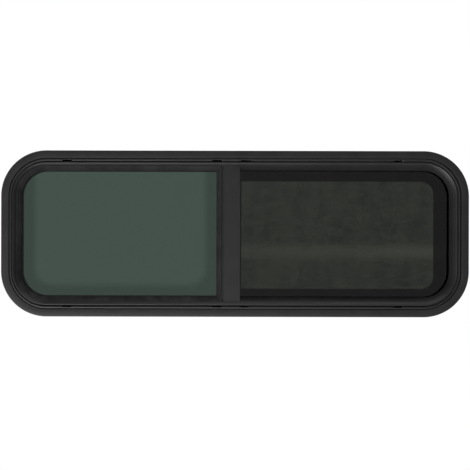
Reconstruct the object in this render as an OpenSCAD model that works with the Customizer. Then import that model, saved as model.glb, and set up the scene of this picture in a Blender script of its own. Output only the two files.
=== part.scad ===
// Round-cornered aluminium caravan window with one fixed pane and one sliding pane,
// an insect screen behind the sliding pane and a clamp ring that grips the wall from inside.
// Seen from outside, +X is right and +Z is up, and the outside is toward -Y.
// The origin is on the rear face of the lower flange, halfway along it.
// Sections are drawn as u, the distance inward from the outline, and h, the height toward the
// outside above the flange's rear face.

/* [Cut-out and wall] */
// Width of the hole in the wall
cutout_w = 914; // [700:1:1300]
// Height of the hole in the wall
cutout_h = 304; // [260:1:600]
// Corner radius of the hole in the wall
cutout_r = 76; // [70:1:110]
// Thickness of the wall that the window clamps
wall_t = 28; // [27.5:0.5:45]
// Clearance of the frame in the hole, on each side
fit_gap = 1.2; // [0.5:0.1:2.5]

/* [Outer flange] */
// How far the flange laps the wall round the hole
flange_lap = 16; // [13:0.5:24]
// Thickness of the flange at its outer edge
flange_edge_t = 1.6; // [1.2:0.1:2.2]
// Rise of the flange's crown above its edges
flange_rise = 0.25; // [0.1:0.05:1.5]
// Width of the groove between the flange and the ledge
groove_w = 1.4; // [0.6:0.1:1.8]
// Thickness of metal left under that groove
groove_t = 0.6; // [0.5:0.1:1.1]

/* [Ledge and weep slots] */
// Height of the ledge's edges above the wall
ledge_h = 1.9; // [1.5:0.1:3]
// How far the ledge is crowned above its edges
ledge_rise = 0.6; // [0.2:0.1:1]
// Thickness of the ledge
ledge_t = 1.4; // [1:0.1:1.5]
// Width of the fine groove at the foot of the nose
foot_groove_w = 1.3; // [0.4:0.1:1.6]
// Depth of the fine groove at the foot of the nose
foot_groove_d = 0.9; // [0.3:0.1:1]
// Length of a weep slot
weep_l = 19.5; // [10:0.5:30]
// Width of a weep slot
weep_w = 3.9; // [2.5:0.1:4.1]
// Distance of the left weep slots from the end of the straight side
weep_left_end = 41.2; // [25:0.1:80]
// Distance of the right weep slots from the end of the straight side
weep_right_end = 50.8; // [25:0.1:80]
// Distance of the inner weep slots from the middle of their pair
weep_inner_x = 29; // [20:1:60]
// Sideways shift of the inner pair from the mullion's middle
weep_shift_x = -1.9; // [-10:0.1:10]

/* [Frame body] */
// Thickness of the leg that passes through the wall
leg_t = 1.4; // [1.2:0.1:2]
// Width of the drain chamber between the leg and the track floor
drain_w = 4.3; // [4.3:0.1:6]
// Thickness of the track floor
floor_t = 1.4; // [1.2:0.1:2]
// Thickness of the fins between the tracks
fin_t = 1.2; // [1:0.1:1.6]
// Radius of the raised nose round the opening
nose_r = 2.6; // [2:0.1:3.5]
// Height of the nose above the wall
nose_h = 8; // [6:0.1:11]
// Thickness of the sloping band
band_t = 1.5; // [1.2:0.1:2]
// Radius of the sloping band's crowned face
band_r = 40; // [30:1:120]
// Height of the glass stop, behind the lip, measured from the wall
stop_h = -3.2; // [-6:0.1:-1]
// Radius of the lip's edge
lip_r = 0.8; // [0.5:0.05:1]
// Width of the flat foot behind the lip
lip_foot_w = 3.6; // [2.5:0.1:5]
// Depth of the lip from the track floor
lip_d = 15.7; // [14:0.1:20]
// Depth of the fin behind the fixed glass
front_fin_d = 12.7; // [10:0.1:13.5]
// Depth of the fin between the sliding glass and the screen
middle_fin_d = 17.7; // [17:0.1:20]
// How far the screen's floor is stepped in from the track floor
screen_step = 3.9; // [2.5:0.1:5]
// Depth of the rear fin from the screen's floor
rear_fin_d = 4.5; // [3:0.1:4.6]
// Gap of the screw race that takes the clamp ring's screws
race_gap = 3; // [2.4:0.1:3.2]
// Length of a drain hole in the track floor
drain_l = 12; // [8:0.5:20]
// Width of a drain hole in the track floor
drain_hole_w = 3; // [2:0.1:3.5]
// Distance of the drain holes from the weep slots
drain_offset_x = 34; // [25:1:60]

/* [Glass] */
// Thickness of both panes
glass_t = 4; // [3:0.1:5]
// Thickness of the glazing tape and of the bead's foot
pad_t = 1; // [0.6:0.1:1.6]
// Gap between the edge of the fixed glass and the track floor
edge_gap = 2.7; // [2:0.1:4]
// Clearance above the sliding glass
lift_gap = 2.2; // [1.5:0.1:4]
// Clearance beside and under the sliding glass in its runs
slide_gap = 0.3; // [0.2:0.05:0.8]
// Clearance of the sliding glass at the jamb
jamb_gap = 1.3; // [1:0.1:3]
// How much rounder the sliding glass is than the jamb's run
sash_round = 2; // [1:0.5:4]

/* [Glazing bead and tape] */
// Thickness of the bead round the lip
bead_t = 1.2; // [0.8:0.1:1.6]
// Width of the bead's front leaf
bead_w = 8.5; // [6:0.1:9.5]
// Width of the bead's foot and of the glazing tape
tape_w = 4.6; // [3:0.1:5]
// Clearance of pushed-on and snapped-on pieces
snap_gap = 0.1; // [0.05:0.05:0.2]
// Gap at a mitred joint, measured along a side
mitre_gap = 0.15; // [0.1:0.05:0.3]
// Length of a setting block
block_l = 28; // [15:1:50]

/* [Glass runs] */
// Wall thickness of the glass runs
run_t = 1.2; // [0.8:0.1:1.5]
// Pile clearance on each side of the sliding glass
pile_gap = 0.7; // [0.4:0.05:1.2]
// How far the run's rear wall stays behind the middle fin's edge
run_setback = 0.5; // [0.3:0.1:2]
// Length of a travel stop
stop_l = 12; // [6:1:25]

/* [Mullion] */
// Sideways place of the mullion's middle
mullion_x = -5.95; // [-60:0.05:60]
// Width of the cover strip
cover_w = 32.7; // [26:0.1:45]
// Height of the cover strip's face above the wall
cover_h = 5.2; // [4.6:0.1:6]
// Thickness of the cover strip
cover_t = 1.4; // [1.2:0.1:1.8]
// Rounding of the cover strip's long edges
cover_r = 0.6; // [0.3:0.1:1]
// Thickness of the post's walls
post_t = 1.4; // [1.2:0.1:1.8]
// How far the post's lip stands left of the cover strip
post_lip_x = 14.2; // [12:0.1:18]
// How far the post's rear wall stays behind its lip
post_wall_setback = 2; // [1:0.1:3]
// Radius of the post's ridge
ridge_r = 1.6; // [1.2:0.1:2]
// Clearance where the mullion is coped to the frame
cope_gap = 0.4; // [0.2:0.05:0.8]
// Width of the pile seal's slot
seal_w = 4.8; // [4:0.1:6]
// Place of the pile seal right of the mullion's middle
seal_x = 7; // [2:0.1:9]
// Depth of the ribs that hold the pile seal
seal_rib_d = 1.2; // [0.8:0.1:1.3]

/* [Meeting rail] */
// Overall width of the meeting rail
rail_w = 19.5; // [16:0.1:24]
// Width of the channel that grips the sliding glass
rail_grip_w = 12.5; // [9:0.1:14]
// Thickness of the rail's walls
rail_t = 1.2; // [1:0.1:1.5]
// Clearance of the glass in the rail
rail_gap = 0.2; // [0.1:0.05:0.3]
// Distance of the rail's left edge from the post's lip
rail_offset = 1.4; // [0.5:0.1:3]

/* [Latch] */
// Height of the latch body
latch_h = 62; // [56:1:90]
// Width of the latch body
latch_w = 14; // [11:0.1:15]
// Depth of the latch body
latch_d = 8.5; // [6:0.1:10]
// Length of the screw ears at the latch's ends
latch_ear_l = 9; // [8:0.5:12]
// Thickness of the screw ears
latch_ear_t = 2.6; // [2:0.1:4]
// Length of the sloping shoulders between the ears and the body
latch_slope_l = 5; // [2:0.5:8]
// Radius of the latch's corners
latch_corner_r = 2.3; // [1:0.1:4]
// Height of the latch tongue
tongue_h = 14; // [8:0.5:20]
// Thickness of the latch tongue
tongue_t = 2.6; // [1.8:0.1:3]
// Clearance round the latch tongue
tongue_gap = 0.25; // [0.15:0.05:0.5]
// Reach of the latch tongue into the post
tongue_bite = 1; // [0.5:0.1:1.1]
// Height of the thumb button
button_h = 22; // [14:1:30]
// Width of the thumb button
button_w = 7; // [5:0.1:9]
// How far the thumb button stands out
button_d = 3; // [2:0.1:5]
// Radius of the grip grooves across the thumb button
grip_r = 0.7; // [0.4:0.1:1]
// Distance between the grip grooves
grip_pitch = 2.6; // [2.2:0.1:3]

/* [Insect screen] */
// Width of the screen's bars
screen_bar_w = 27.5; // [24:0.1:30]
// Thickness of the screen frame
screen_t = 8; // [7:0.1:10]
// Clearance of the screen in its channel
screen_gap = 0.4; // [0.3:0.05:0.8]
// Headroom above the screen for lifting it out
screen_lift = 4.7; // [4.7:0.1:8]
// How far the screen's right edge stays inside the jamb fin
screen_lap = 2.5; // [2:0.1:4]
// Distance of the screen's opening from the cover strip's right edge
screen_inset = 2.4; // [0.5:0.1:4]
// Corner radius of the screen's opening
screen_r = 26; // [18:1:34]
// Wall thickness of the screen frame
screen_wall = 1; // [0.7:0.1:1.4]
// Width of the open seam along the screen's bars
screen_seam = 0.8; // [0.4:0.1:1.2]
// Bevel along the front of the screen's opening
screen_bevel = 1.4; // [0.6:0.1:2.5]
// Width of the spline groove
spline_w = 3.4; // [2.8:0.1:4]
// Depth of the spline groove
spline_d = 3.6; // [3:0.1:4.4]
// Width of the flange between the groove and the opening
screen_flange_w = 6; // [4:0.1:8]
// Thickness of the mesh
mesh_t = 0.6; // [0.3:0.05:0.8]
// Length of a corner key's arms
key_l = 34; // [25:1:50]
// Length of a screen clip
clip_l = 14; // [8:0.5:24]
// How far a screen clip laps the screen
clip_lap = 9; // [6:0.5:12]
// Thickness of a screen clip
clip_t = 1.5; // [1:0.1:2]
// Length of a screen pull tab
pull_l = 18; // [10:1:30]
// How far a pull tab stands out
pull_d = 7; // [4:0.5:12]
// How far a pull tab's finger lip turns down
pull_lip = 2.4; // [1:0.1:4]
// Thickness of a pull tab
pull_t = 1.8; // [1.2:0.1:2.5]

/* [Clamp ring] */
// How far the ring's outer edge stays inside the flange's outer edge
ring_inset = 3; // [0:0.5:5]
// Thickness of the ring
ring_t = 1.6; // [1.2:0.1:2]
// How far the ring is stepped back over the frame's end
ring_step = 1.6; // [1.2:0.1:3]
// Gap between the ring and the frame's end
ring_gap = 0.3; // [0.2:0.05:0.6]
// How far the ring's inner edge passes the screen's floor
ring_over = 1; // [0.5:0.1:2]
// Radius of the ring's screw holes
ring_hole_r = 2.1; // [1.6:0.05:2.4]
// Gap where the ring's two ends meet
ring_butt = 0.8; // [0.4:0.1:2]
// Largest distance between ring screws on a straight side
ring_pitch = 115; // [70:5:160]

/* [Hidden] */
$fn = 96;

// Overall sizes
over = 1;
crown_facets = 240;
win_w = cutout_w + 2 * flange_lap;
win_h = cutout_h + 2 * flange_lap;
win_r = cutout_r + flange_lap;
centre_up = win_h / 2 - flange_lap / 2;
corner_x = win_w / 2 - win_r;
corner_y = win_h / 2 - win_r;

// Places across the section, as distances inward from the outline
u_leg = flange_lap + fit_gap;
u_chamber = u_leg + leg_t;
u_floor = u_chamber + drain_w;
u_track = u_floor + floor_t;
u_lip = u_track + lip_d;
u_front_fin = u_track + front_fin_d;
u_middle_fin = u_track + middle_fin_d;
u_screen = u_track + screen_step;
u_rear_fin = u_screen + rear_fin_d;
u_weep = (u_chamber + u_floor) / 2;
u_race = u_chamber + race_gap / 2;
u_race_wall = u_chamber + race_gap;
u_groove = flange_lap - groove_w / 2;

// Places through the section, as heights toward the outside
h_glass = stop_h - pad_t;
h_front_fin = h_glass - glass_t - pad_t;
h_slide = h_front_fin - fin_t;
slide_w = glass_t + 2 * (pile_gap + run_t + snap_gap);
h_middle_fin = h_slide - slide_w;
h_screen = h_middle_fin - fin_t;
h_rear_fin = h_screen - screen_t - 2 * screen_gap;
h_end = -(wall_t + ring_step);
h_sash = h_slide - (slide_w - glass_t) / 2;

// The sloping band's crown touches the nose and the lip's edge, and runs just inside their tops
bite = 0.02;
nose_c = [u_floor + nose_r - bite, nose_h - nose_r];
lip_c = [u_lip - lip_r, stop_h + lip_r];
band_run = lip_c - nose_c;
band_way = band_run / norm(band_run);
nose_reach = band_r - nose_r;
lip_reach = band_r - lip_r;
nose_along = (nose_reach * nose_reach - lip_reach * lip_reach + band_run * band_run) / (2 * norm(band_run));
band_below = sqrt(nose_reach * nose_reach - nose_along * nose_along);
band_c = nose_c + nose_along * band_way + band_below * [band_way[1], -band_way[0]];
band_face_r = band_r - bite;
nose_angle = atan2(nose_c[1] - band_c[1], nose_c[0] - band_c[0]);
lip_angle = atan2(lip_c[1] - band_c[1], lip_c[0] - band_c[0]);
// Height of a circle about the crown's centre
function crown_h(r, u) = band_c[1] + sqrt(r * r - pow(u - band_c[0], 2));
// Direction of the crown's face, and a point at a height above it
function crown_angle(u) = acos((u - band_c[0]) / band_face_r);
function crown_point(u, lift) =
    let (angle = crown_angle(u))
    band_c + (band_face_r + lift) * [cos(angle), sin(angle)];

// The mullion, whose lip mirrors the frame's
cover_x0 = mullion_x - cover_w / 2;
cover_x1 = mullion_x + cover_w / 2;
post_lip = cover_x0 - post_lip_x;
post_outline = post_lip + u_lip;
post_web_x = cover_x0 + cover_t + 2 * snap_gap;
post_right_x = cover_x1 - cover_t - 2 * snap_gap;
post_front = cover_h - cover_t - 2 * snap_gap;
u_ridge = u_lip - bead_w - snap_gap;
ridge_c = crown_point(u_ridge, bite - ridge_r);
seal_mid_x = mullion_x + seal_x;

// The fixed pane
fixed_x0 = -win_w / 2 + u_track + edge_gap;
fixed_x1 = post_web_x - edge_gap;

// The sliding pane and its rail
rail_x0 = post_lip + rail_offset;
grip_x0 = rail_x0 + rail_w - rail_grip_w;
sash_x0 = grip_x0 + rail_t + rail_gap;
u_run = u_track + snap_gap + run_t;
sash_x1 = win_w / 2 - u_run - jamb_gap;
sash_y0 = -win_h / 2 + u_run + slide_gap;
sash_y1 = win_h / 2 - u_run - slide_gap - lift_gap;
sash_r = win_r - u_run + sash_round;
rail_half = win_h / 2 - u_middle_fin - snap_gap;
h_rail_front = h_sash + rail_gap + rail_t;
h_rail_rear = h_sash - glass_t - rail_gap - rail_t;
tongue_x = rail_x0 + rail_t + (grip_x0 - rail_x0 - rail_t) / 2;
latch_x0 = rail_x0 + snap_gap;

// The screen
screen_x0 = cover_x1 + screen_inset - screen_bar_w;
screen_x1 = win_w / 2 - u_middle_fin + screen_lap;
screen_y0 = -win_h / 2 + u_screen + snap_gap;
screen_y1 = win_h / 2 - u_screen - screen_lift;
screen_corner = screen_r + screen_bar_w;
screen_w = screen_x1 - screen_x0;
screen_h = screen_y1 - screen_y0;
screen_mid_y = (screen_y0 + screen_y1) / 2;
screen_front = h_screen - screen_gap;
screen_rear = screen_front - screen_t;
spline_u = screen_bar_w - screen_flange_w - spline_w / 2;
mesh_tuck = spline_w / 4;
tube_w = screen_bar_w - screen_flange_w - spline_w - 2 * screen_wall;

// The clamp ring
ring_land_h = h_end - ring_gap;
ring_joggle_u = flange_lap - ring_t;
ring_inner_u = u_screen + ring_over;
// The ring's ends meet between two screws, whether or not one is in the middle
ring_butt_x = ring_pitch / 4;

// Placing helpers

// Turn a flat window upright, with its outside toward -Y
module stand() {
    rotate([90, 0, 0])
        translate([0, centre_up, 0])
            children();
}

// Bar along -Y whose section lies along +X
module bar(length) {
    rotate([90, 0, 0])
        linear_extrude(length)
            children();
}

// Section turned round, so that it lies inward from a radius
module inward(r) {
    translate([r, 0])
        mirror([1, 0])
            children();
}

// Quarter turn from +X to +Y
module bend(r) {
    rotate_extrude(angle = 90)
        inward(r)
            children();
}

// Bar along the right side, between the centres of two round corners
module side_bar(cx, cy, r) {
    translate([cx, cy, 0])
        bar(2 * cy)
            inward(r)
                children();
}

// Bar along the upper side, from a round corner's centre to the left
module upper_bar(cx, cy, r, length) {
    translate([cx - length, cy, 0])
        rotate([0, 0, 90])
            bar(length)
                inward(r)
                    children();
}

// Closed ring with four round corners
module ring(w, h, r) {
    cx = w / 2 - r;
    cy = h / 2 - r;
    for (flip = [0, 1]) {
        mirror([flip, 0, 0])
            side_bar(cx, cy, r)
                children();
        mirror([0, flip, 0])
            upper_bar(cx, cy, r, 2 * cx)
                children();
    }
    for (flip_x = [0, 1], flip_y = [0, 1])
        mirror([flip_x, 0, 0])
            mirror([0, flip_y, 0])
                translate([cx, cy, 0])
                    bend(r)
                        children();
}

// Ring with round corners centred at x = 0 and a separate left side, mitred at both ends
module mitred_ring(w, h, r, reach) {
    cy = h / 2 - r;
    left = r - w;
    side_bar(0, cy, r)
        children();
    for (flip = [0, 1])
        mirror([0, flip, 0]) {
            translate([0, cy, 0])
                bend(r)
                    children();
            intersection() {
                upper_bar(0, cy, r, w - r)
                    children();
                prism([[over, cy + r + over], [left + mitre_gap - over, cy + r + over],
                       [left + mitre_gap + reach, cy + r - reach], [over, cy + r - reach]]);
            }
        }
    intersection() {
        translate([left, h / 2, 0])
            bar(h)
                children();
        prism([[left - over, h / 2 + over], [left - over, -h / 2 - over],
               [left + reach, reach - h / 2], [left + reach, h / 2 - reach]]);
    }
}

// Tall prism that limits a mitre
module prism(points) {
    translate([0, 0, h_end - wall_t])
        linear_extrude(2 * wall_t + nose_h - h_end)
            polygon(points);
}

// Plate outline with its own corner radius at each end
module plate(x0, x1, y0, y1, r_left, r_right) {
    translate([x0 + r_left, y0])
        square([x1 - x0 - r_left - r_right, y1 - y0]);
    if (r_left > 0)
        plate_end(x0, y0, y1, r_left);
    if (r_right > 0)
        translate([x1, 0])
            mirror([1, 0])
                plate_end(0, y0, y1, r_right);
}

module plate_end(x0, y0, y1, r) {
    translate([x0, y0 + r])
        square([r, y1 - y0 - 2 * r]);
    for (y = [y0 + r, y1 - r])
        translate([x0 + r, y])
            circle(r);
}

// Slot outline with round ends
module obround(length, width) {
    square([length - width, width], center = true);
    for (side = [-1, 1])
        translate([side * (length - width) / 2, 0])
            circle(d = width);
}

// Rectangle from its low and high corners
module span(low, high) {
    translate(low)
        square(high - low);
}

// Sections

// Crowned flange with a rounded outer edge
module flange_section() {
    edge_r = flange_edge_t / 2;
    translate([edge_r, edge_r])
        circle(edge_r);
    crowned(edge_r, u_groove, 0, flange_edge_t, flange_rise, 360);
    span([edge_r, 0], [u_chamber, groove_t]);
}

// Strip from one place across to another, whose top rises in a flat arc between its edges
module crowned(u_from, u_to, low, edge_h, rise, facets) {
    half = (u_to - u_from) / 2;
    crown_r = (half * half + rise * rise) / (2 * rise);
    intersection() {
        translate([u_from + half, edge_h + rise - crown_r])
            circle(crown_r, $fn = facets);
        span([u_from, low], [u_to, edge_h + rise + over]);
    }
}

// Crowned ledge, with a fine groove where it meets the nose
module ledge_section() {
    ledge_u = u_groove + groove_w;
    crowned(ledge_u, u_floor - foot_groove_w, ledge_h - ledge_t, ledge_h, ledge_rise, 120);
    span([ledge_u, ledge_h - ledge_t], [u_track, ledge_h - foot_groove_d]);
    span([ledge_u, 0], [u_chamber, ledge_h]);
}

// Strip of the crown between two radii and two directions
module crown_strip(r_low, r_high, angle_from, angle_to) {
    far = 2 * band_r;
    difference() {
        intersection() {
            translate(band_c)
                circle(r_high, $fn = crown_facets);
            polygon([band_c, band_c + far * [cos(angle_from), sin(angle_from)],
                     band_c + far * [cos(angle_to), sin(angle_to)]]);
        }
        translate(band_c)
            circle(r_low, $fn = crown_facets);
    }
}

// Sloping band from a direction to the lip, with the lip's edge and foot
module band_section(angle_from) {
    foot_u = u_lip - lip_foot_w;
    crown_strip(band_r - band_t, band_face_r, angle_from, lip_angle);
    polygon([lip_c, [lip_c[0], stop_h], [foot_u, stop_h], [foot_u, crown_h(band_r - band_t / 2, foot_u)]]);
    translate(lip_c)
        circle(lip_r);
}

// Whole section of the frame
module frame_section() {
    flange_section();
    ledge_section();
    translate(nose_c)
        circle(nose_r);
    band_section(nose_angle);
    // Leg through the wall, and the track floor
    span([u_leg, h_end], [u_chamber, ledge_h - ledge_t]);
    span([u_floor, h_screen], [u_track, nose_c[1]]);
    // Fins in front of and behind the sliding glass
    span([u_floor, h_slide], [u_front_fin, h_front_fin]);
    span([u_floor, h_screen], [u_middle_fin, h_middle_fin]);
    // Stepped floor and rear fin for the screen
    span([u_screen - floor_t, h_rear_fin - fin_t], [u_screen, h_middle_fin]);
    span([u_screen - floor_t, h_rear_fin - fin_t], [u_rear_fin, h_rear_fin]);
    // Screw race between the leg and its own wall
    span([u_race_wall, h_end], [u_race_wall + floor_t, h_middle_fin]);
    span([u_race_wall, h_screen], [u_track, h_middle_fin]);
}

// Bead pushed over the lip, with its foot on the glass
module bead_section() {
    leaf_u = u_lip - bead_w;
    tip_r = (bead_t - snap_gap) / 2;
    leaf_low = band_face_r + snap_gap + bite;
    leaf_high = band_face_r + bead_t - bite;
    u_out = u_lip + bead_t;
    u_in = u_lip + snap_gap;
    translate(crown_point(leaf_u, snap_gap + tip_r))
        circle(tip_r);
    crown_strip(leaf_low, leaf_high, crown_angle(leaf_u), acos((u_out - band_c[0]) / leaf_high));
    polygon([
        [u_in, crown_h(leaf_high, u_in)],
        [u_in, stop_h - snap_gap],
        [u_out - tape_w, stop_h - snap_gap],
        [u_out - tape_w, h_glass],
        [u_out, h_glass],
        [u_out, crown_h(leaf_high, u_out)]
    ]);
}

// Tape between the fixed glass and the front fin
module tape_section() {
    span([u_front_fin - tape_w - snap_gap, h_front_fin], [u_front_fin - snap_gap, h_front_fin + pad_t]);
}

// Lined channel that the sliding glass runs in
module run_section() {
    front = h_slide - snap_gap;
    rear = h_middle_fin + snap_gap;
    span([u_track + snap_gap, rear], [u_run, front]);
    span([u_track + snap_gap, front - run_t], [u_front_fin, front]);
    span([u_track + snap_gap, rear], [u_middle_fin - run_setback, rear + run_t]);
}

// Rectangle from x0 to x1, given as distances inward from the fixed pane's right outline
module post_span(x0, h0, x1, h1) {
    span([post_outline - x1, h0], [post_outline - x0, h1]);
}

// The post's lip, which mirrors the frame's
module post_lip_section() {
    translate([post_outline, 0])
        mirror([1, 0])
            band_section(crown_angle(u_ridge));
}

module post_ridge_section() {
    translate([post_outline - ridge_c[0], ridge_c[1]])
        circle(ridge_r);
}

// The post's box, with the web beside the fixed glass and the slot for the pile seal
module post_box_section() {
    translate([post_outline, 0])
        mirror([1, 0]) {
            span([post_outline - post_web_x - post_t, ridge_c[1] - post_t], ridge_c);
            post_span(post_web_x, h_slide, post_web_x + post_t, post_front);
            post_span(post_right_x - post_t, h_slide, post_right_x, post_front);
            post_span(post_web_x, post_front - post_t, post_right_x, post_front);
            post_span(post_lip + post_wall_setback, h_slide, post_right_x, h_front_fin);
            for (rib = [seal_mid_x - seal_w / 2 - post_t, seal_mid_x + seal_w / 2])
                post_span(rib, h_slide - seal_rib_d, rib + post_t, h_front_fin);
        }
}

// Cover strip with a short left leg and a long right leg
module cover_section() {
    face = cover_h - cover_r;
    span([cover_x0, cover_h - cover_t], [cover_x1, face]);
    span([cover_x0 + cover_r, face], [cover_x1 - cover_r, cover_h]);
    for (x = [cover_x0 + cover_r, cover_x1 - cover_r])
        translate([x, face])
            circle(cover_r);
    span([cover_x0, ridge_c[1] + snap_gap], [cover_x0 + cover_t, face]);
    span([cover_x1 - cover_t, h_front_fin], [cover_x1, face]);
}

// Meeting rail: a glass channel, a wing and a stiffening return
module rail_section() {
    span([grip_x0, h_rail_rear], [grip_x0 + rail_t, h_rail_front]);
    span([grip_x0, h_rail_front - rail_t], [grip_x0 + rail_grip_w, h_rail_front]);
    span([rail_x0, h_rail_rear], [grip_x0 + rail_grip_w, h_rail_rear + rail_t]);
    span([rail_x0, h_rail_rear], [rail_x0 + rail_t, h_rail_front]);
}

// Screen bar: a tube with an open seam, a spline groove and a bevelled flange
module screen_section() {
    difference() {
        span([0, screen_rear], [screen_bar_w, screen_front]);
        span([screen_wall, screen_rear + screen_wall], [screen_wall + tube_w, screen_front - screen_wall]);
        span([-over, screen_rear + screen_t / 2 - screen_seam / 2],
             [screen_wall + over, screen_rear + screen_t / 2 + screen_seam / 2]);
        span([spline_u - spline_w / 2, screen_rear - over],
             [spline_u + spline_w / 2, screen_rear + spline_d]);
        span([spline_u, screen_rear - over], [screen_bar_w + over, screen_rear + mesh_t]);
        polygon([[screen_bar_w - screen_bevel - over, screen_front + over],
                 [screen_bar_w + over, screen_front + over],
                 [screen_bar_w + over, screen_front - screen_bevel - over]]);
    }
}

// Clamp ring: a flat on the wall, stepped back over the frame's end
module ring_section() {
    edge_r = ring_t / 2;
    translate([ring_inset + edge_r, -wall_t - edge_r])
        circle(edge_r);
    span([ring_inset + edge_r, -wall_t - ring_t], [ring_joggle_u + ring_t, -wall_t]);
    span([ring_joggle_u, ring_land_h - ring_t], [ring_joggle_u + ring_t, -wall_t]);
    span([ring_joggle_u, ring_land_h - ring_t], [ring_inner_u - edge_r, ring_land_h]);
    translate([ring_inner_u - edge_r, ring_land_h - edge_r])
        circle(edge_r);
}

// Cuts shared by several pieces

// Sideways places of the weep slots
weep_xs = [
    weep_left_end - corner_x,
    mullion_x + weep_shift_x - weep_inner_x,
    mullion_x + weep_shift_x + weep_inner_x,
    corner_x - weep_right_end
];

// Weep slots through the ledge, at the top and the bottom
module weep_cuts() {
    for (x = weep_xs, side = [-1, 1])
        translate([x, side * (win_h / 2 - u_weep), groove_t / 2])
            linear_extrude(ledge_h + ledge_rise)
                obround(weep_l, weep_w);
}

// Drain holes through the floor of both tracks
module drain_cuts(sides) {
    for (i = [0:3], side = sides, h = [h_glass - glass_t / 2, h_sash - glass_t / 2]) {
        toward = i < 2 ? 1 : -1;
        outward = i == 0 || i == 3 ? toward : -toward;
        translate([weep_xs[i] + outward * drain_offset_x, side * (win_h / 2 - u_track), h])
            rotate([90, 0, 0])
                linear_extrude(3 * floor_t, center = true)
                    obround(drain_l, drain_hole_w);
    }
}

// Space that the frame takes up where the mullion meets it
module cope_cuts(deep) {
    gap = cope_gap;
    low = stop_h - gap;
    reach = 2 * cover_w;
    for (flip = [0, 1])
        mirror([0, flip, 0])
            upper_bar(mullion_x + reach, corner_y, win_r, 2 * reach) {
                intersection() {
                    translate(band_c)
                        circle(band_r + gap, $fn = crown_facets);
                    span([-over, low], [u_lip + gap, nose_h + cover_h]);
                }
                polygon([
                    [-over, nose_h + over], [nose_c[0], nose_h + over], [nose_c[0], low + gap / 2],
                    [u_lip, low + gap / 2], [u_lip, low], [deep, low], [deep, h_front_fin + gap],
                    [u_front_fin + gap, h_front_fin + gap], [u_front_fin + gap, h_slide + gap],
                    [u_middle_fin + gap, h_slide + gap], [u_middle_fin + gap, 2 * h_end],
                    [-over, 2 * h_end]
                ]);
            }
}

// Pieces

module outer_frame() {
    color([0.13, 0.13, 0.14])
        stand()
            difference() {
                ring(win_w, win_h, win_r)
                    frame_section();
                weep_cuts();
                drain_cuts([-1, 1]);
            }
}

// Evenly spaced places within a straight length
function spaced(length, pitch) =
    let (count = ceil(length / pitch))
    [for (i = [0:count]) (i / count - 0.5) * length];

module ring_hole_at(x, y) {
    translate([x, y, ring_land_h - ring_t - over])
        cylinder(r = ring_hole_r, h = ring_t + 2 * over);
}

// Screw holes round the clamp ring
module ring_hole_cuts() {
    inset = ring_pitch / 2;
    side_y = win_h / 2 - u_race;
    side_x = win_w / 2 - u_race;
    for (x = spaced(win_w - 2 * win_r - inset, ring_pitch), side = [-1, 1])
        ring_hole_at(x, side * side_y);
    for (y = spaced(win_h - 2 * win_r, ring_pitch * 2), side = [-1, 1])
        ring_hole_at(side * side_x, y);
    for (flip_x = [-1, 1], flip_y = [-1, 1])
        ring_hole_at(flip_x * (win_w / 2 - win_r + (win_r - u_race) * sin(45)),
                     flip_y * (win_h / 2 - win_r + (win_r - u_race) * sin(45)));
}

module clamp_ring() {
    color([0.13, 0.13, 0.14])
        stand()
            difference() {
                ring(win_w, win_h, win_r)
                    ring_section();
                ring_hole_cuts();
                translate([ring_butt_x - ring_butt / 2, -win_h / 2, -wall_t * 2])
                    cube([ring_butt, ring_inner_u + over, wall_t * 2]);
            }
}

module fixed_glass() {
    color([0.2, 0.26, 0.24, 0.7])
        stand()
            translate([0, 0, h_glass - glass_t])
                linear_extrude(glass_t)
                    plate(fixed_x0, fixed_x1, -win_h / 2 + u_track + edge_gap,
                          win_h / 2 - u_track - edge_gap, win_r - u_track - edge_gap, 0);
}

// Place a section round the fixed pane
module round_fixed_pane() {
    stand()
        translate([-corner_x, 0, 0])
            mirror([1, 0, 0])
                mitred_ring(win_w / 2 + post_outline, win_h, win_r, u_lip + 2 * bead_t)
                    children();
}

module fixed_glass_bead() {
    color([0.06, 0.06, 0.06])
        round_fixed_pane()
            bead_section();
}

module fixed_glass_tape() {
    color([0.1, 0.1, 0.1])
        round_fixed_pane()
            tape_section();
}

// Two blocks that carry the fixed glass at the quarter points
module setting_blocks() {
    quarter = (fixed_x1 - fixed_x0) / 4;
    color([0.15, 0.15, 0.15])
        stand()
            for (x = [fixed_x0 + quarter, fixed_x1 - quarter])
                translate([x - block_l / 2, -win_h / 2 + u_track, h_glass - glass_t])
                    cube([block_l, edge_gap, glass_t]);
}

module mullion_post() {
    post_half = win_h / 2 - u_track - snap_gap;
    color([0.13, 0.13, 0.14])
        stand()
            difference() {
                translate([0, post_half, 0]) {
                    bar(2 * post_half)
                        post_lip_section();
                    bar(2 * post_half)
                        post_ridge_section();
                    bar(2 * post_half)
                        post_box_section();
                }
                cope_cuts(0);
                translate([tongue_x, 0, h_front_fin])
                    cube([tongue_t + 2 * tongue_gap, tongue_h + 2 * tongue_gap, 3 * fin_t], center = true);
            }
}

module mullion_cover() {
    color([0.14, 0.14, 0.15])
        stand()
            difference() {
                translate([0, win_h / 2, 0])
                    bar(win_h)
                        cover_section();
                cope_cuts(u_lip + cope_gap);
            }
}

// Pile seal in the post's slot, just clear of the sliding glass
module mullion_seal() {
    back = seal_rib_d;
    reach = h_slide - h_sash - slide_gap;
    pile_w = seal_w / 2;
    half = win_h / 2 - u_middle_fin - cope_gap;
    color([0.08, 0.08, 0.08])
        stand()
            translate([seal_mid_x, half, 0])
                bar(2 * half) {
                    span([-seal_w / 2 + snap_gap, h_slide - back], [seal_w / 2 - snap_gap, h_slide]);
                    span([-pile_w / 2, h_slide - reach], [pile_w / 2, h_slide - back]);
                }
}

// Straight glass run on the upper side, or the lower side when flipped
module straight_run(flip) {
    mirror([0, flip, 0])
        upper_bar(corner_x, corner_y, win_r, 2 * corner_x)
            run_section();
}

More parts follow.
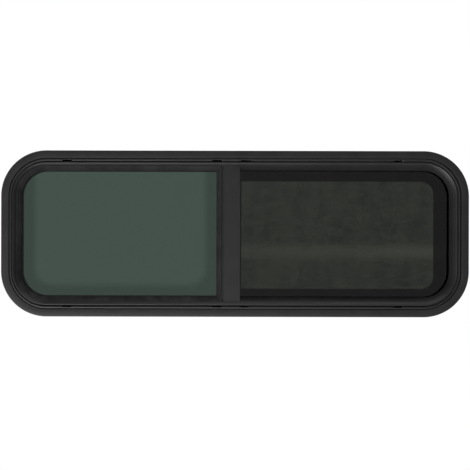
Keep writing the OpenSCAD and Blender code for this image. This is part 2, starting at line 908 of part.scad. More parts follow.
module top_glass_run() {
    color([0.07, 0.07, 0.07])
        stand()
            straight_run(0);
}

module bottom_glass_run() {
    color([0.07, 0.07, 0.07])
        stand()
            difference() {
                straight_run(1);
                drain_cuts([-1]);
            }
}

module jamb_glass_run() {
    color([0.07, 0.07, 0.07])
        stand() {
            side_bar(corner_x, corner_y, win_r)
                run_section();
            for (flip = [0, 1])
                mirror([0, flip, 0])
                    translate([corner_x, corner_y, 0])
                        bend(win_r)
                            run_section();
        }
}

// Rubber stops at the open end of the sliding pane's travel
module travel_stops() {
    wide = glass_t + 2 * pile_gap - 2 * snap_gap;
    color([0.05, 0.05, 0.05])
        stand()
            for (flip = [0, 1])
                mirror([0, flip, 0])
                    translate([win_r - win_w / 2, -win_h / 2 + u_run, h_sash - glass_t / 2 - wide / 2])
                        cube([stop_l, u_front_fin - u_run, wide]);
}

module sliding_glass() {
    color([0.2, 0.26, 0.24, 0.7])
        stand()
            translate([0, 0, h_sash - glass_t])
                linear_extrude(glass_t)
                    plate(sash_x0, sash_x1, sash_y0, sash_y1, 0, sash_r);
}

module meeting_rail() {
    color([0.13, 0.13, 0.14])
        stand()
            difference() {
                translate([0, rail_half, 0])
                    bar(2 * rail_half)
                        rail_section();
                translate([tongue_x, 0, h_rail_rear])
                    cube([tongue_t + 2 * tongue_gap, tongue_h + 2 * tongue_gap, 3 * rail_t], center = true);
            }
}

// Guides that keep the rail's ends upright in the glass runs
module rail_guides() {
    wide = glass_t + 2 * pile_gap - 2 * slide_gap;
    long = grip_x0 - rail_x0;
    reach = win_h / 2 - rail_half - u_run - slide_gap;
    color([0.2, 0.2, 0.2])
        stand()
            for (flip = [0, 1])
                mirror([0, flip, 0])
                    translate([rail_x0, -rail_half - reach, h_sash - glass_t / 2 - wide / 2])
                        cube([long, reach, wide]);
}

// Latch body with screw ears, sloping shoulders and a pocket for its tongue
module latch_body() {
    rear = h_rail_rear - latch_d;
    end = latch_h / 2 + over;
    ear = latch_h / 2 - latch_ear_l;
    color([0.08, 0.08, 0.08])
        stand()
            difference() {
                translate([0, 0, rear])
                    linear_extrude(latch_d)
                        plate(latch_x0, latch_x0 + latch_w, -latch_h / 2, latch_h / 2,
                              latch_corner_r, latch_corner_r);
                for (flip = [0, 1])
                    mirror([0, flip, 0])
                        translate([latch_x0 - over, 0, 0])
                            rotate([90, 0, 90])
                                linear_extrude(latch_w + 2 * over)
                                    polygon([[ear, h_rail_rear - latch_ear_t], [end, h_rail_rear - latch_ear_t],
                                             [end, rear - over], [ear - latch_slope_l, rear - over],
                                             [ear - latch_slope_l, rear]]);
                translate([tongue_x, 0, h_rail_rear])
                    cube([tongue_t + 2 * tongue_gap, tongue_h + 2 * tongue_gap, latch_d], center = true);
            }
}

// Tongue through the rail's wing into the post's rear wall
module latch_tongue() {
    front = h_slide + tongue_bite;
    rear = h_rail_rear - latch_d / 2 + tongue_gap;
    color([0.6, 0.6, 0.6])
        stand()
            translate([tongue_x - tongue_t / 2, -tongue_h / 2, rear])
                cube([tongue_t, tongue_h, front - rear]);
}

// Thumb button with grip grooves across it
module latch_button() {
    mid = latch_x0 + latch_w / 2;
    count = floor((button_h - button_w) / 2 / grip_pitch);
    color([0.1, 0.1, 0.1])
        stand()
            translate([mid, 0, h_rail_rear - latch_d - button_d])
                difference() {
                    linear_extrude(button_d)
                        rotate(90)
                            obround(button_h, button_w);
                    for (i = [-count:count])
                        translate([-button_w, i * grip_pitch, 0])
                            rotate([0, 90, 0])
                                cylinder(r = grip_r, h = 2 * button_w, $fn = 24);
                }
}

// Place a section round the screen, with its round corners at the jamb
module round_screen() {
    stand()
        translate([screen_x1 - screen_corner, screen_mid_y, 0])
            mitred_ring(screen_w, screen_h, screen_corner, screen_bar_w + over)
                children();
}

module screen_frame() {
    color([0.11, 0.11, 0.12])
        round_screen()
            screen_section();
}

// Keys in the tube that join the mitred corners
module screen_corner_keys() {
    near = screen_wall + snap_gap;
    wide = tube_w - 2 * snap_gap;
    deep = screen_t - 2 * screen_wall - 2 * snap_gap;
    color([0.08, 0.08, 0.08])
        stand()
            translate([screen_x0 + near, screen_mid_y, screen_rear + screen_wall + snap_gap])
                for (flip = [0, 1])
                    mirror([0, flip, 0])
                        translate([0, screen_h / 2 - near, 0])
                            linear_extrude(deep)
                                polygon([[0, 0], [key_l, 0], [key_l, -wide], [wide, -wide],
                                         [wide, -key_l], [0, -key_l]]);
}

module screen_mesh() {
    inset = spline_u + mesh_tuck;
    color([0.2, 0.2, 0.19, 0.6])
        stand()
            translate([0, 0, screen_rear])
                linear_extrude(mesh_t - snap_gap / 2)
                    plate(screen_x0 + inset, screen_x1 - inset, screen_y0 + inset, screen_y1 - inset,
                          0, screen_corner - inset);
}

// Cord pressed into the spline groove
module screen_spline() {
    cord_w = spline_w / 2 + mesh_tuck - snap_gap;
    color([0.05, 0.05, 0.05])
        round_screen()
            span([spline_u - spline_w / 2 + snap_gap, screen_rear + spline_d - cord_w - snap_gap],
                 [spline_u - spline_w / 2 + snap_gap + cord_w, screen_rear + spline_d - snap_gap]);
}

// Pile strip on the screen's left stile that meets the sliding glass
module screen_seal() {
    half = win_h / 2 - u_middle_fin - cope_gap;
    wide = seal_w;
    color([0.08, 0.08, 0.08])
        stand()
            translate([screen_x0 + wide, half, 0])
                bar(2 * half)
                    span([0, screen_front], [wide, h_sash - glass_t - slide_gap]);
}

// Strip bent forward from the rear fin's back onto the screen's
module screen_clip() {
    back = h_rear_fin - fin_t;
    foot = screen_rear - snap_gap;
    bend_u = u_rear_fin + snap_gap;
    bend_end = bend_u + foot - back;
    end = u_screen + screen_lift + clip_lap;
    slant = clip_t * (sqrt(2) - 1);
    bar(clip_l)
        inward(0)
            polygon([[ring_inner_u + snap_gap, back], [bend_u, back], [bend_end, foot], [end, foot],
                     [end, foot - clip_t], [bend_end + slant, foot - clip_t],
                     [bend_u + slant, back - clip_t], [ring_inner_u + snap_gap, back - clip_t]]);
}

module screen_clips() {
    color([0.6, 0.6, 0.6])
        stand()
            for (share = [0.25, 0.75])
                translate([screen_x0 + share * screen_w - clip_l / 2, win_h / 2, 0])
                    rotate([0, 0, 90])
                        screen_clip();
}

// Tabs on the screen's lower bar for lifting it out, with a foot and a finger lip
module screen_pulls() {
    low = screen_y0 + (screen_bar_w - screen_flange_w - spline_w) / 2;
    foot = pull_t + pull_lip;
    color([0.08, 0.08, 0.08])
        stand()
            for (share = [0.25, 0.75])
                translate([screen_x0 + share * screen_w - pull_l / 2, low, screen_rear])
                    rotate([90, 0, 90])
                        linear_extrude(pull_l)
                            polygon([[0, 0], [foot, 0], [foot, -pull_t], [pull_t, -pull_t],
                                     [pull_t, -pull_d], [-pull_lip, -pull_d],
                                     [-pull_lip, pull_t / 2 - pull_d], [0, pull_t - pull_d]]);
}

outer_frame();
clamp_ring();
fixed_glass();
fixed_glass_bead();
fixed_glass_tape();
setting_blocks();
mullion_post();
mullion_cover();
mullion_seal();
top_glass_run();
bottom_glass_run();
jamb_glass_run();
travel_stops();
sliding_glass();
meeting_rail();
rail_guides();
latch_body();
latch_tongue();
latch_button();
screen_frame();
screen_corner_keys();
screen_mesh();
screen_spline();
screen_seal();
screen_clips();
screen_pulls();
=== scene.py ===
"""Looks of a round-cornered caravan window: black extruded frame, two tinted panes, an insect screen."""

import math

import bmesh
import bpy
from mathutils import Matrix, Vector


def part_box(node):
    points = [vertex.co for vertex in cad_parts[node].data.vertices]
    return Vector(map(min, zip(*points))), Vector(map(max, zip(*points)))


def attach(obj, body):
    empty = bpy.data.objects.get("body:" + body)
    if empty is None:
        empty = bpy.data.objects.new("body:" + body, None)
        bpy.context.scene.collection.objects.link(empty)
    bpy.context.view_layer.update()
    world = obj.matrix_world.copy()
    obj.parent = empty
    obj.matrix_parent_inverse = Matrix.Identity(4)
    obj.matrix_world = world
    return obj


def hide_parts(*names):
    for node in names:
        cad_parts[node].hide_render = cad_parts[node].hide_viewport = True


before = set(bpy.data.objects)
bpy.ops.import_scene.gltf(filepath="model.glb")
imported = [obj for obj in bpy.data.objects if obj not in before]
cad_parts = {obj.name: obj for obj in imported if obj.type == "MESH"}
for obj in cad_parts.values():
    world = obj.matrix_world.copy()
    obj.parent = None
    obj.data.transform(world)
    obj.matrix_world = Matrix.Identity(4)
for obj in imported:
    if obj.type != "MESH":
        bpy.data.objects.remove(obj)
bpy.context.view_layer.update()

# Sizes are in millimetres where no comment says otherwise. In the section, u is the distance inward
# from the outline, and h the height toward the outside above the flange's rear face. MM brings them
# to metres.
MM = 0.001
WINDOW_W = 946
WINDOW_H = 336
WINDOW_R = 92
CENTRE_UP = 160

# Frame section
FLANGE_LAP = 16
FLANGE_EDGE_T = 1.6
FLANGE_RISE = 0.25
GROOVE_W = 1.4
GROOVE_T = 0.6
LEDGE_H = 1.9
LEDGE_RISE = 0.6
LEDGE_T = 1.4
FOOT_GROOVE_W = 1.3
FOOT_GROOVE_D = 0.9
LEG_OUT_U = 17.2
LEG_T = 1.4
FLOOR_OUT_U = 22.9
FLOOR_T = 1.4
TRACK_U = 24.3
NOSE_R = 2.6
NOSE_H = 8
BAND_T = 1.5
BAND_R = 40
LIP_U = 40
LIP_R = 0.8
LIP_FOOT_W = 3.6
STOP_H = -3.2
FRONT_FIN_U = 37
MIDDLE_FIN_U = 42
SCREEN_FLOOR_U = 28.2
REAR_FIN_U = 32.7
FRONT_FIN_H = -9.2
SLIDE_H = -10.4
MIDDLE_FIN_H = -18.4
SCREEN_H = -19.6
REAR_FIN_H = -28.4
FRAME_END_H = -29.6
RACE_WALL_U = 21.6

# Weep slots, and the drain holes behind them
WEEP_U = 20.75
WEEP_L = 19.5
WEEP_W = 3.9
WEEP_XS = (-339.8, -36.85, 21.15, 330.2)
DRAIN_OFFSET = 34
DRAIN_L = 12
DRAIN_W = 3
DRAIN_HS = (-6.2, -14.4)

# Small radii that the die leaves on the frame's edges
GROOVE_EDGE_R = 0.25
FINE_R = 0.15
SMALL_R = 0.2
MEDIUM_R = 0.3
LARGE_R = 0.4

# Mark for painted shade on the bottoms of the frame's two grooves: its name, how far below each rim it
# ends, its slack
GROOVE_SHADE_MARK = "groove"
FLANGE_GROOVE_RIM = 0.3
FOOT_GROOVE_RIM = 0.25
MARK_SLACK_U = 0.02
MARK_SLACK_H = 0.05

# Screen's wires, and the corners of its sheet
MESH_PITCH = 1.15
MESH_WIRE_R = 0.18
MESH_WIRE_SIDES = 5
MESH_CORNER_R = 39.7

# Clamp ring, whose ends show nearly shut, and the race that its screws go into
RING_BACK_Y = 31.5
RING_BUTT_X = 28.75
RING_BUTT = 0.8
RING_BUTT_SEEN = 0.08
RACE_U = 20.1
RING_SCREWS_LONG = 8
RING_SCREW_SPAN_LONG = 704.5

# Screws, as head radius, head height, shank radius and shank length
RING_SCREW = (3.5, 2.3, 1.4, 18)
LATCH_SCREW = (2.7, 1.7, 1.2, 4)

# Latch's ears, and the screen clips with their rivets
LATCH_EAR_T = 2.6
LATCH_EAR_L = 9
CLIP_L = 14
CLIP_RIVET_U = 31
CLIP_RIVET_STEP = 4
RIVET_R = 1.4
RIVET_H = 0.9
RIVET_SHANK_R = 0.8
RIVET_SHANK_L = 0.6
SCREW_SIDES = 20
RIVET_SIDES = 16

# Distances in metres below which points are one, and angles in degrees below which faces are one,
# edges stay sharp and shading is smooth
SWEPT_MERGE = 1e-6
COPY_MERGE = 2e-6
FLAT_ANGLE = 0.2
EASED_ANGLE = 40
SMOOTH_ANGLE = 32
SCREW_SMOOTH_ANGLE = 30
WIRE_SMOOTH_ANGLE = 80

# Painted shade as a soft dark rim on the fixed pane's tint, and a painted reflection as a light band on the
# sliding pane's, in metres
FIXED_RIM_SHADE = {
    "Middle X": -0.2325,
    "Middle Z": 0.190,
    "Half width": 0.1955,
    "Half height": 0.157,
    "Corner": 0.058,
    "Reach": 0.032,
}
# Painted reflection: the light band on the sliding pane
REFLECTION_BAND_UP = 0.1235
REFLECTION_BAND_HALF = 0.024
REFLECTION_BAND_RIGHT = 0.38

# Colours of rubbed edges, which on metal are also a painted highlight, of dust, of painted shade in grooves
# and recesses, and of stains
# Rubbed metal edges, lighter: wear, and also a painted highlight
RUBBED_AND_HIGHLIT_METAL = (0.15, 0.15, 0.155)
RUBBED_PLASTIC = (0.12, 0.12, 0.12)
METAL_DUST = (0.055, 0.053, 0.048)
PLASTIC_DUST = (0.14, 0.13, 0.12)
# Painted shade in grooves and recesses
PAINTED_GROOVE_SHADE = (0.002, 0.002, 0.002)
STEEL_STAIN = (0.2, 0.18, 0.15)

# Camera, from the photograph's perspective: picture and focal length in pixels, back and up in
# metres, roll in degrees, sensor in millimetres
PHOTO_SIZE = 470
PHOTO_FOCAL = 988.5
CAMERA_BACK = 2.0
CAMERA_UP = 0.1576
CAMERA_ROLL = 0.13
SENSOR = 36

# Room that the window reflects: a wall's way and its dim and lit colours, the ground, and a soft
# bright patch with its way, its angles in degrees and its strength. A fade runs between two cosines
# of a ray's angle to its way.
WALL_WAY = (-0.30, -1.0, -0.16)
WALL_FADE = (0.3, 1.0)
WALL_FALL = 1.5
DIM_WALL = (0.06, 0.06, 0.06)
LIT_WALL = (0.325, 0.325, 0.332)
DARK_GROUND = (0.008, 0.008, 0.008)
PATCH_WAY = (-0.24, -0.83, -0.51)
PATCH_OUTER = 24
PATCH_INNER = 7
PATCH_STRENGTH = 6.0
DOWN = (0, 0, -1)
GROUND_FADE = (0.50, 0.75)
BEHIND = (0, 1, 0)
BEHIND_FADE = (0.0, 0.5)

# Floor, and the distances behind the window, in metres, between which its glow fades in for
# reflections
FLOOR_SIDE = 1600
FLOOR_NEAR = -500
FLOOR_FAR = 700
FLOOR_UP = -500
FLOOR_FADE = (0.0, 0.3)


# Nodes

def link(tree, start, end):
    tree.links.new(start, end)


def node(tree, kind, **settings):
    made = tree.nodes.new(kind)
    for name, value in settings.items():
        setattr(made, name, value)
    return made


def feed(tree, value, socket):
    """Give a socket another node's output, or else a plain value."""
    if isinstance(value, bpy.types.NodeSocket):
        link(tree, value, socket)
    else:
        socket.default_value = value


def wired(tree, kind, inputs, **settings):
    """Node with its inputs fed by name."""
    made = node(tree, kind, **settings)
    for name, value in inputs.items():
        feed(tree, value, made.inputs[name])
    return made


def maths(tree, operation, *values):
    made = node(tree, "ShaderNodeMath", operation=operation)
    for value, socket in zip(values, made.inputs):
        feed(tree, value, socket)
    return made.outputs[0]


def vector_maths(tree, operation, first, second):
    made = node(tree, "ShaderNodeVectorMath", operation=operation)
    feed(tree, first, made.inputs[0])
    feed(tree, second, made.inputs["Scale" if operation == "SCALE" else 1])
    return made.outputs["Value" if operation == "DOT_PRODUCT" else "Vector"]


def axes(tree, vector):
    """A vector's X, Y and Z."""
    made = node(tree, "ShaderNodeSeparateXYZ")
    link(tree, vector, made.inputs[0])
    return made.outputs


# Outlines and sections

def eased(points, steps=4):
    """Closed outline in which a point (x, y, r) is a corner rounded to radius r."""
    count = len(points)
    out = []
    for i, point in enumerate(points):
        here = Vector(point[:2])
        radius = point[2] if len(point) > 2 else 0
        if radius == 0:
            out.append(here)
            continue
        back = (Vector(points[i - 1][:2]) - here).normalized()
        on = (Vector(points[(i + 1) % count][:2]) - here).normalized()
        half = back.angle(on) / 2
        reach = radius / math.tan(half)
        middle = here + (back + on).normalized() * (radius / math.sin(half))
        start = here + back * reach - middle
        end = here + on * reach - middle
        turn = start.angle_signed(end)
        for step in range(steps + 1):
            angle = -turn * step / steps
            out.append(middle + Vector((
                start.x * math.cos(angle) - start.y * math.sin(angle),
                start.x * math.sin(angle) + start.y * math.cos(angle),
            )))
    return out


def arc(centre, radius, start, end, steps):
    """Points on an arc, with its angles in degrees."""
    angles = [math.radians(start + (end - start) * i / steps) for i in range(steps + 1)]
    return [(centre[0] + radius * math.cos(a), centre[1] + radius * math.sin(a)) for a in angles]


def crowned(start, end, edge_h, rise, steps):
    """Flat arc between two places across the section."""
    half = (end - start) / 2
    radius = (half * half + rise * rise) / (2 * rise)
    spread = math.degrees(math.asin(half / radius))
    return arc((start + half, edge_h + rise - radius), radius, 90 + spread, 90 - spread, steps)


def crown():
    """Centres of the nose, of the lip's edge and of the band's crown that touches both of them."""
    nose = Vector((FLOOR_OUT_U + NOSE_R, NOSE_H - NOSE_R))
    lip = Vector((LIP_U - LIP_R, STOP_H + LIP_R))
    run = lip - nose
    to_nose = BAND_R - NOSE_R
    to_lip = BAND_R - LIP_R
    along = (to_nose ** 2 - to_lip ** 2 + run.length ** 2) / (2 * run.length)
    below = math.sqrt(to_nose ** 2 - along ** 2)
    way = run.normalized()
    return nose, lip, nose + along * way + below * Vector((way.y, -way.x))


def direction(start, end):
    """Angle in degrees of the line from one point to another."""
    return math.degrees(math.atan2(end[1] - start[1], end[0] - start[0]))


def frame_section():
    """The extrusion's whole outline, with the small radii that a die leaves."""
    nose, lip, middle = crown()
    nose_turn = direction(middle, nose)
    lip_turn = direction(middle, lip)
    edge_r = FLANGE_EDGE_T / 2
    groove_in = FLANGE_LAP - GROOVE_W / 2
    groove_out = FLANGE_LAP + GROOVE_W / 2
    ledge_end = FLOOR_OUT_U - FOOT_GROOVE_W
    leg_in = LEG_OUT_U + LEG_T
    foot_u = LIP_U - LIP_FOOT_W
    under_r = BAND_R - BAND_T
    foot_turn = math.degrees(math.acos((foot_u - middle.x) / under_r))
    bulge = math.acos((NOSE_R - BAND_T) / NOSE_R)
    meet_turn = nose_turn - math.degrees(math.atan2(NOSE_R * math.sin(bulge), under_r))
    wall_turn = -math.degrees(math.acos((TRACK_U - nose.x) / NOSE_R))
    floor_in = SCREEN_FLOOR_U - FLOOR_T
    race_in = RACE_WALL_U + FLOOR_T
    groove_floor = LEDGE_H - FOOT_GROOVE_D
    ledge_under = LEDGE_H - LEDGE_T
    points = [(edge_r, 0)]
    points += arc((edge_r, edge_r), edge_r, 270, 90, 10)[1:]
    points += crowned(edge_r, groove_in, FLANGE_EDGE_T, FLANGE_RISE, 16)[1:-1]
    points += [(groove_in, FLANGE_EDGE_T, GROOVE_EDGE_R), (groove_in, GROOVE_T, FINE_R),
               (groove_out, GROOVE_T, FINE_R), (groove_out, LEDGE_H, SMALL_R)]
    points += crowned(groove_out, ledge_end, LEDGE_H, LEDGE_RISE, 12)[1:-1]
    points += [(ledge_end, LEDGE_H, SMALL_R), (ledge_end, groove_floor, FINE_R),
               (FLOOR_OUT_U, groove_floor, FINE_R)]
    points += arc(nose, NOSE_R, 180, nose_turn, 16)
    points += arc(middle, BAND_R, nose_turn, lip_turn, 10)[1:-1]
    points += arc(lip, LIP_R, lip_turn, -90, 12)
    points += [(foot_u, STOP_H, SMALL_R)]
    points += arc(middle, under_r, foot_turn, meet_turn, 8)
    points += arc(nose, NOSE_R, nose_turn - math.degrees(bulge), wall_turn, 8)[1:]
    points += [
        (TRACK_U, FRONT_FIN_H, MEDIUM_R), (FRONT_FIN_U, FRONT_FIN_H, MEDIUM_R),
        (FRONT_FIN_U, SLIDE_H, MEDIUM_R), (TRACK_U, SLIDE_H, MEDIUM_R),
        (TRACK_U, MIDDLE_FIN_H, MEDIUM_R), (MIDDLE_FIN_U, MIDDLE_FIN_H, LARGE_R),
        (MIDDLE_FIN_U, SCREEN_H, LARGE_R), (SCREEN_FLOOR_U, SCREEN_H, MEDIUM_R),
        (SCREEN_FLOOR_U, REAR_FIN_H, MEDIUM_R), (REAR_FIN_U, REAR_FIN_H, LARGE_R),
        (REAR_FIN_U, FRAME_END_H, LARGE_R), (floor_in, FRAME_END_H, SMALL_R),
        (floor_in, SCREEN_H, SMALL_R), (race_in, SCREEN_H, SMALL_R),
        (race_in, FRAME_END_H, MEDIUM_R), (RACE_WALL_U, FRAME_END_H, MEDIUM_R),
        (RACE_WALL_U, MIDDLE_FIN_H, SMALL_R), (FLOOR_OUT_U, MIDDLE_FIN_H, SMALL_R),
        (FLOOR_OUT_U, ledge_under, SMALL_R), (leg_in, ledge_under, SMALL_R),
        (leg_in, FRAME_END_H, MEDIUM_R), (LEG_OUT_U, FRAME_END_H, MEDIUM_R),
        (LEG_OUT_U, 0, SMALL_R),
    ]
    return eased(points)


def rounded_stations(width, height, radius, steps):
    """Places round a rounded rectangle, each with its inward direction, ending where it began."""
    stations = []
    for quarter in range(4):
        middle = Vector((
            (1, -1, -1, 1)[quarter] * (width / 2 - radius),
            (1, 1, -1, -1)[quarter] * (height / 2 - radius),
        ))
        for step in range(steps + 1):
            angle = math.radians(90 * (quarter + step / steps))
            ray = Vector((math.cos(angle), math.sin(angle)))
            stations.append((middle + radius * ray, -ray))
    stations.append(stations[0])
    return stations


# Geometry node trees

def piece_tree(name, *inputs):
    """Empty geometry node tree with named inputs, a finish, and the piece that it puts out."""
    tree = bpy.data.node_groups.new(name, "GeometryNodeTree")
    for label, kind in (*inputs, ("Finish", "Material")):
        tree.interface.new_socket(label, in_out="INPUT", socket_type="NodeSocket" + kind)
    tree.interface.new_socket("Piece", in_out="OUTPUT", socket_type="NodeSocketGeometry")
    return tree, node(tree, "NodeGroupInput"), node(tree, "NodeGroupOutput")


def finish_with(tree, geometry, finish, result):
    """Realize the instances and set the material, at the end of a tree."""
    real = wired(tree, "GeometryNodeRealizeInstances", {"Geometry": geometry})
    painted = wired(tree, "GeometryNodeSetMaterial", {"Geometry": real.outputs[0], "Material": finish})
    link(tree, painted.outputs[0], result.inputs[0])


def sweep_tree():
    """Carries a section along a path whose points hold the inward direction."""
    tree, given, result = piece_tree("section_sweep", ("Path", "Geometry"), ("Section", "Object"))
    path = given.outputs["Path"]
    outline = wired(tree, "GeometryNodeObjectInfo", {"Object": given.outputs["Section"]},
                    transform_space="ORIGINAL")
    section = outline.outputs["Geometry"]
    place = node(tree, "GeometryNodeInputPosition").outputs[0]
    grid = node(tree, "GeometryNodeMeshGrid")
    cells = axes(tree, place)
    indices = []
    for source, axis in ((section, "X"), (path, "Y")):
        size = wired(tree, "GeometryNodeAttributeDomainSize", {"Geometry": source}, component="MESH")
        count = size.outputs["Point Count"]
        span = maths(tree, "SUBTRACT", count, 1)
        link(tree, count, grid.inputs["Vertices " + axis])
        link(tree, span, grid.inputs["Size " + axis])
        index = maths(tree, "ADD", cells[axis], maths(tree, "MULTIPLY", span, 0.5))
        whole = wired(tree, "FunctionNodeFloatToInt", {"Float": index}, rounding_mode="ROUND")
        indices.append(whole.outputs[0])
    inward = wired(tree, "GeometryNodeInputNamedAttribute", {"Name": "inward"}, data_type="FLOAT_VECTOR")

    def sampled(source, value, index):
        sample = wired(tree, "GeometryNodeSampleIndex",
                       {"Geometry": source, "Value": value, "Index": index},
                       data_type="FLOAT_VECTOR", domain="POINT", clamp=True)
        return sample.outputs[0]

    corner = axes(tree, sampled(section, place, indices[0]))
    way = sampled(path, inward.outputs["Attribute"], indices[1])
    depth = vector_maths(tree, "SCALE", way, corner["X"])
    height = vector_maths(tree, "SCALE", (0, -1, 0), corner["Y"])
    across = vector_maths(tree, "ADD", depth, height)
    target = vector_maths(tree, "ADD", across, sampled(path, place, indices[1]))
    moved = wired(tree, "GeometryNodeSetPosition", {"Geometry": grid.outputs["Mesh"], "Position": target})
    merged = wired(tree, "GeometryNodeMergeByDistance",
                   {"Geometry": moved.outputs[0], "Distance": SWEPT_MERGE})
    finish_with(tree, merged.outputs[0], given.outputs["Finish"], result)
    return tree


def wire_tree():
    """Turns each edge into a wire of a given thickness."""
    tree, given, result = piece_tree(
        "woven_wires", ("Lines", "Geometry"), ("Wire radius", "Float"), ("Wire sides", "Int"))
    lines = wired(tree, "GeometryNodeMeshToCurve", {"Mesh": given.outputs["Lines"]})
    ring = wired(tree, "GeometryNodeCurvePrimitiveCircle",
                 {"Radius": given.outputs["Wire radius"], "Resolution": given.outputs["Wire sides"]})
    wires = wired(tree, "GeometryNodeCurveToMesh",
                  {"Curve": lines.outputs[0], "Profile Curve": ring.outputs[0], "Fill Caps": True})
    finish_with(tree, wires.outputs[0], given.outputs["Finish"], result)
    return tree


def scatter_tree():
    """Sets a copy of a small part on each point, turned by a random angle about its own axis."""
    tree, given, result = piece_tree(
        "set_fasteners",
        ("Points", "Geometry"), ("Fastener", "Object"), ("Turn", "Float"), ("Seed", "Int"))
    part = wired(tree, "GeometryNodeObjectInfo",
                 {"Object": given.outputs["Fastener"], "As Instance": True}, transform_space="ORIGINAL")
    chance = node(tree, "FunctionNodeRandomValue", data_type="FLOAT")
    link(tree, given.outputs["Turn"], chance.inputs[3])
    link(tree, given.outputs["Seed"], chance.inputs["Seed"])
    turn = wired(tree, "ShaderNodeCombineXYZ", {"Y": chance.outputs[1]})
    copies = wired(tree, "GeometryNodeInstanceOnPoints", {
        "Points": given.outputs["Points"],
        "Instance": part.outputs["Geometry"],
        "Rotation": turn.outputs[0],
    })
    finish_with(tree, copies.outputs[0], given.outputs["Finish"], result)
    return tree


# Making pieces

def linked(name, data):
    """Object of a mesh, camera or lamp, in the scene."""
    made = bpy.data.objects.new(name, data)
    bpy.context.scene.collection.objects.link(made)
    return made


def drawn(name, places, edges=(), faces=()):
    """Mesh object of places in millimetres, with its edges and faces."""
    mesh = bpy.data.meshes.new(name)
    mesh.from_pydata([(x * MM, y * MM, z * MM) for x, y, z in places], edges, faces)
    return linked(name, mesh)


def chain(name, places):
    """Places joined in order."""
    return drawn(name, places, [(i, i + 1) for i in range(len(places) - 1)])


def path_object(name, stations):
    """Chain of a path's places, which hold their inward direction."""
    made = chain(name, [(place.x, 0, place.y + CENTRE_UP) for place, _ in stations])
    inward = made.data.attributes.new("inward", "FLOAT_VECTOR", "POINT")
    for i, (_, ray) in enumerate(stations):
        inward.data[i].vector = (ray.x, 0, ray.y)
    return made


def run_tree(source, tree, name, values):
    """Evaluate a tree on an object and return its result as a plain mesh object."""
    modifier = source.modifiers.new("made", "NODES")
    modifier.node_group = tree
    sockets = {s.name: s.identifier for s in tree.interface.items_tree if s.in_out == "INPUT"}
    for key, value in values.items():
        modifier[sockets[key]] = value
    bpy.context.view_layer.update()
    graph = bpy.context.evaluated_depsgraph_get()
    mesh = bpy.data.meshes.new_from_object(source.evaluated_get(graph))
    mesh.name = name
    source.modifiers.remove(modifier)
    return linked(name, mesh)


def discard(*things):
    for thing in things:
        bpy.data.objects.remove(thing)


def applied(piece):
    """The piece with its modifiers made part of its mesh."""
    graph = bpy.context.evaluated_depsgraph_get()
    mesh = bpy.data.meshes.new_from_object(piece.evaluated_get(graph))
    piece.modifiers.clear()
    piece.data = mesh
    return piece


def closed_and_smooth(piece, angle):
    """Close open ends, turn faces outward and shade smoothly up to an angle."""
    form = bmesh.new()
    form.from_mesh(piece.data)
    bmesh.ops.remove_doubles(form, verts=form.verts, dist=SWEPT_MERGE)
    rims = [edge for edge in form.edges if edge.is_boundary]
    if rims:
        bmesh.ops.holes_fill(form, edges=rims)
    bmesh.ops.recalc_face_normals(form, faces=form.faces)
    form.to_mesh(piece.data)
    form.free()
    shade(piece, angle)


def shade(piece, angle):
    """Smooth shading up to an angle in degrees, without the solid's own normals."""
    mesh = piece.data
    if "custom_normal" in mesh.attributes:
        mesh.attributes.remove(mesh.attributes["custom_normal"])
    mesh.polygons.foreach_set("use_smooth", [True] * len(mesh.polygons))
    mesh.set_sharp_from_angle(angle=math.radians(angle))


def swept(name, stations, section, finish):
    """Section carried along a path and closed."""
    path = path_object(name + "_path", stations)
    rim = [(point[0], point[1], 0) for point in section]
    outline = chain(name + "_section", rim + rim[:1])
    piece = run_tree(path, SWEEP, name, {"Section": outline, "Finish": finish})
    discard(path, outline)
    closed_and_smooth(piece, SMOOTH_ANGLE)
    return weighted(piece)


def weighted(piece):
    """Normals that follow the large faces, so that rounded edges don't tilt the flat ones."""
    even = piece.modifiers.new("even", "WEIGHTED_NORMAL")
    even.keep_sharp = True
    even.weight = 50
    return applied(piece)


def worn_copy(cad_name, name, finish, ease, angle):
    """Merged copy of a CAD solid, with its sharp edges eased and its round faces smooth."""
    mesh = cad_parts[cad_name].data.copy()
    mesh.name = name
    mesh.materials.clear()
    mesh.materials.append(finish)
    form = bmesh.new()
    form.from_mesh(mesh)
    bmesh.ops.remove_doubles(form, verts=form.verts, dist=COPY_MERGE)
    bmesh.ops.dissolve_limit(form, angle_limit=math.radians(FLAT_ANGLE), verts=form.verts, edges=form.edges)
    form.to_mesh(mesh)
    form.free()
    for face in mesh.polygons:
        face.material_index = 0
    piece = linked(name, mesh)
    if ease:
        bevel = piece.modifiers.new("eased", "BEVEL")
        bevel.width = ease * MM
        bevel.segments = 2
        bevel.limit_method = "ANGLE"
        bevel.angle_limit = math.radians(EASED_ANGLE)
        bevel.use_clamp_overlap = True
        applied(piece)
    shade(piece, angle)
    return weighted(piece)


def dressed(piece, slot, *replaced):
    """Put a piece on the one body, in place of the solids that it stands for; its slot is not used."""
    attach(piece, "root")
    if replaced:
        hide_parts(*replaced)
    return piece


# Shader groups

def group(name, values, masks=("Mask",)):
    """Empty shader node group with a vector, named values and the masks that it puts out."""
    tree = bpy.data.node_groups.new(name, "ShaderNodeTree")
    tree.interface.new_socket("Vector", in_out="INPUT", socket_type="NodeSocketVector")
    for label, value in values.items():
        made = tree.interface.new_socket(label, in_out="INPUT", socket_type="NodeSocketFloat")
        made.default_value = value
    for label in masks:
        tree.interface.new_socket(label, in_out="OUTPUT", socket_type="NodeSocketFloat")
    return tree, node(tree, "NodeGroupInput"), node(tree, "NodeGroupOutput")


def noise(tree, vector, scale, detail=2.0, roughness=0.5):
    made = wired(tree, "ShaderNodeTexNoise",
                 {"Scale": scale, "Detail": detail, "Roughness": roughness, "Vector": vector})
    return made.outputs["Fac"]


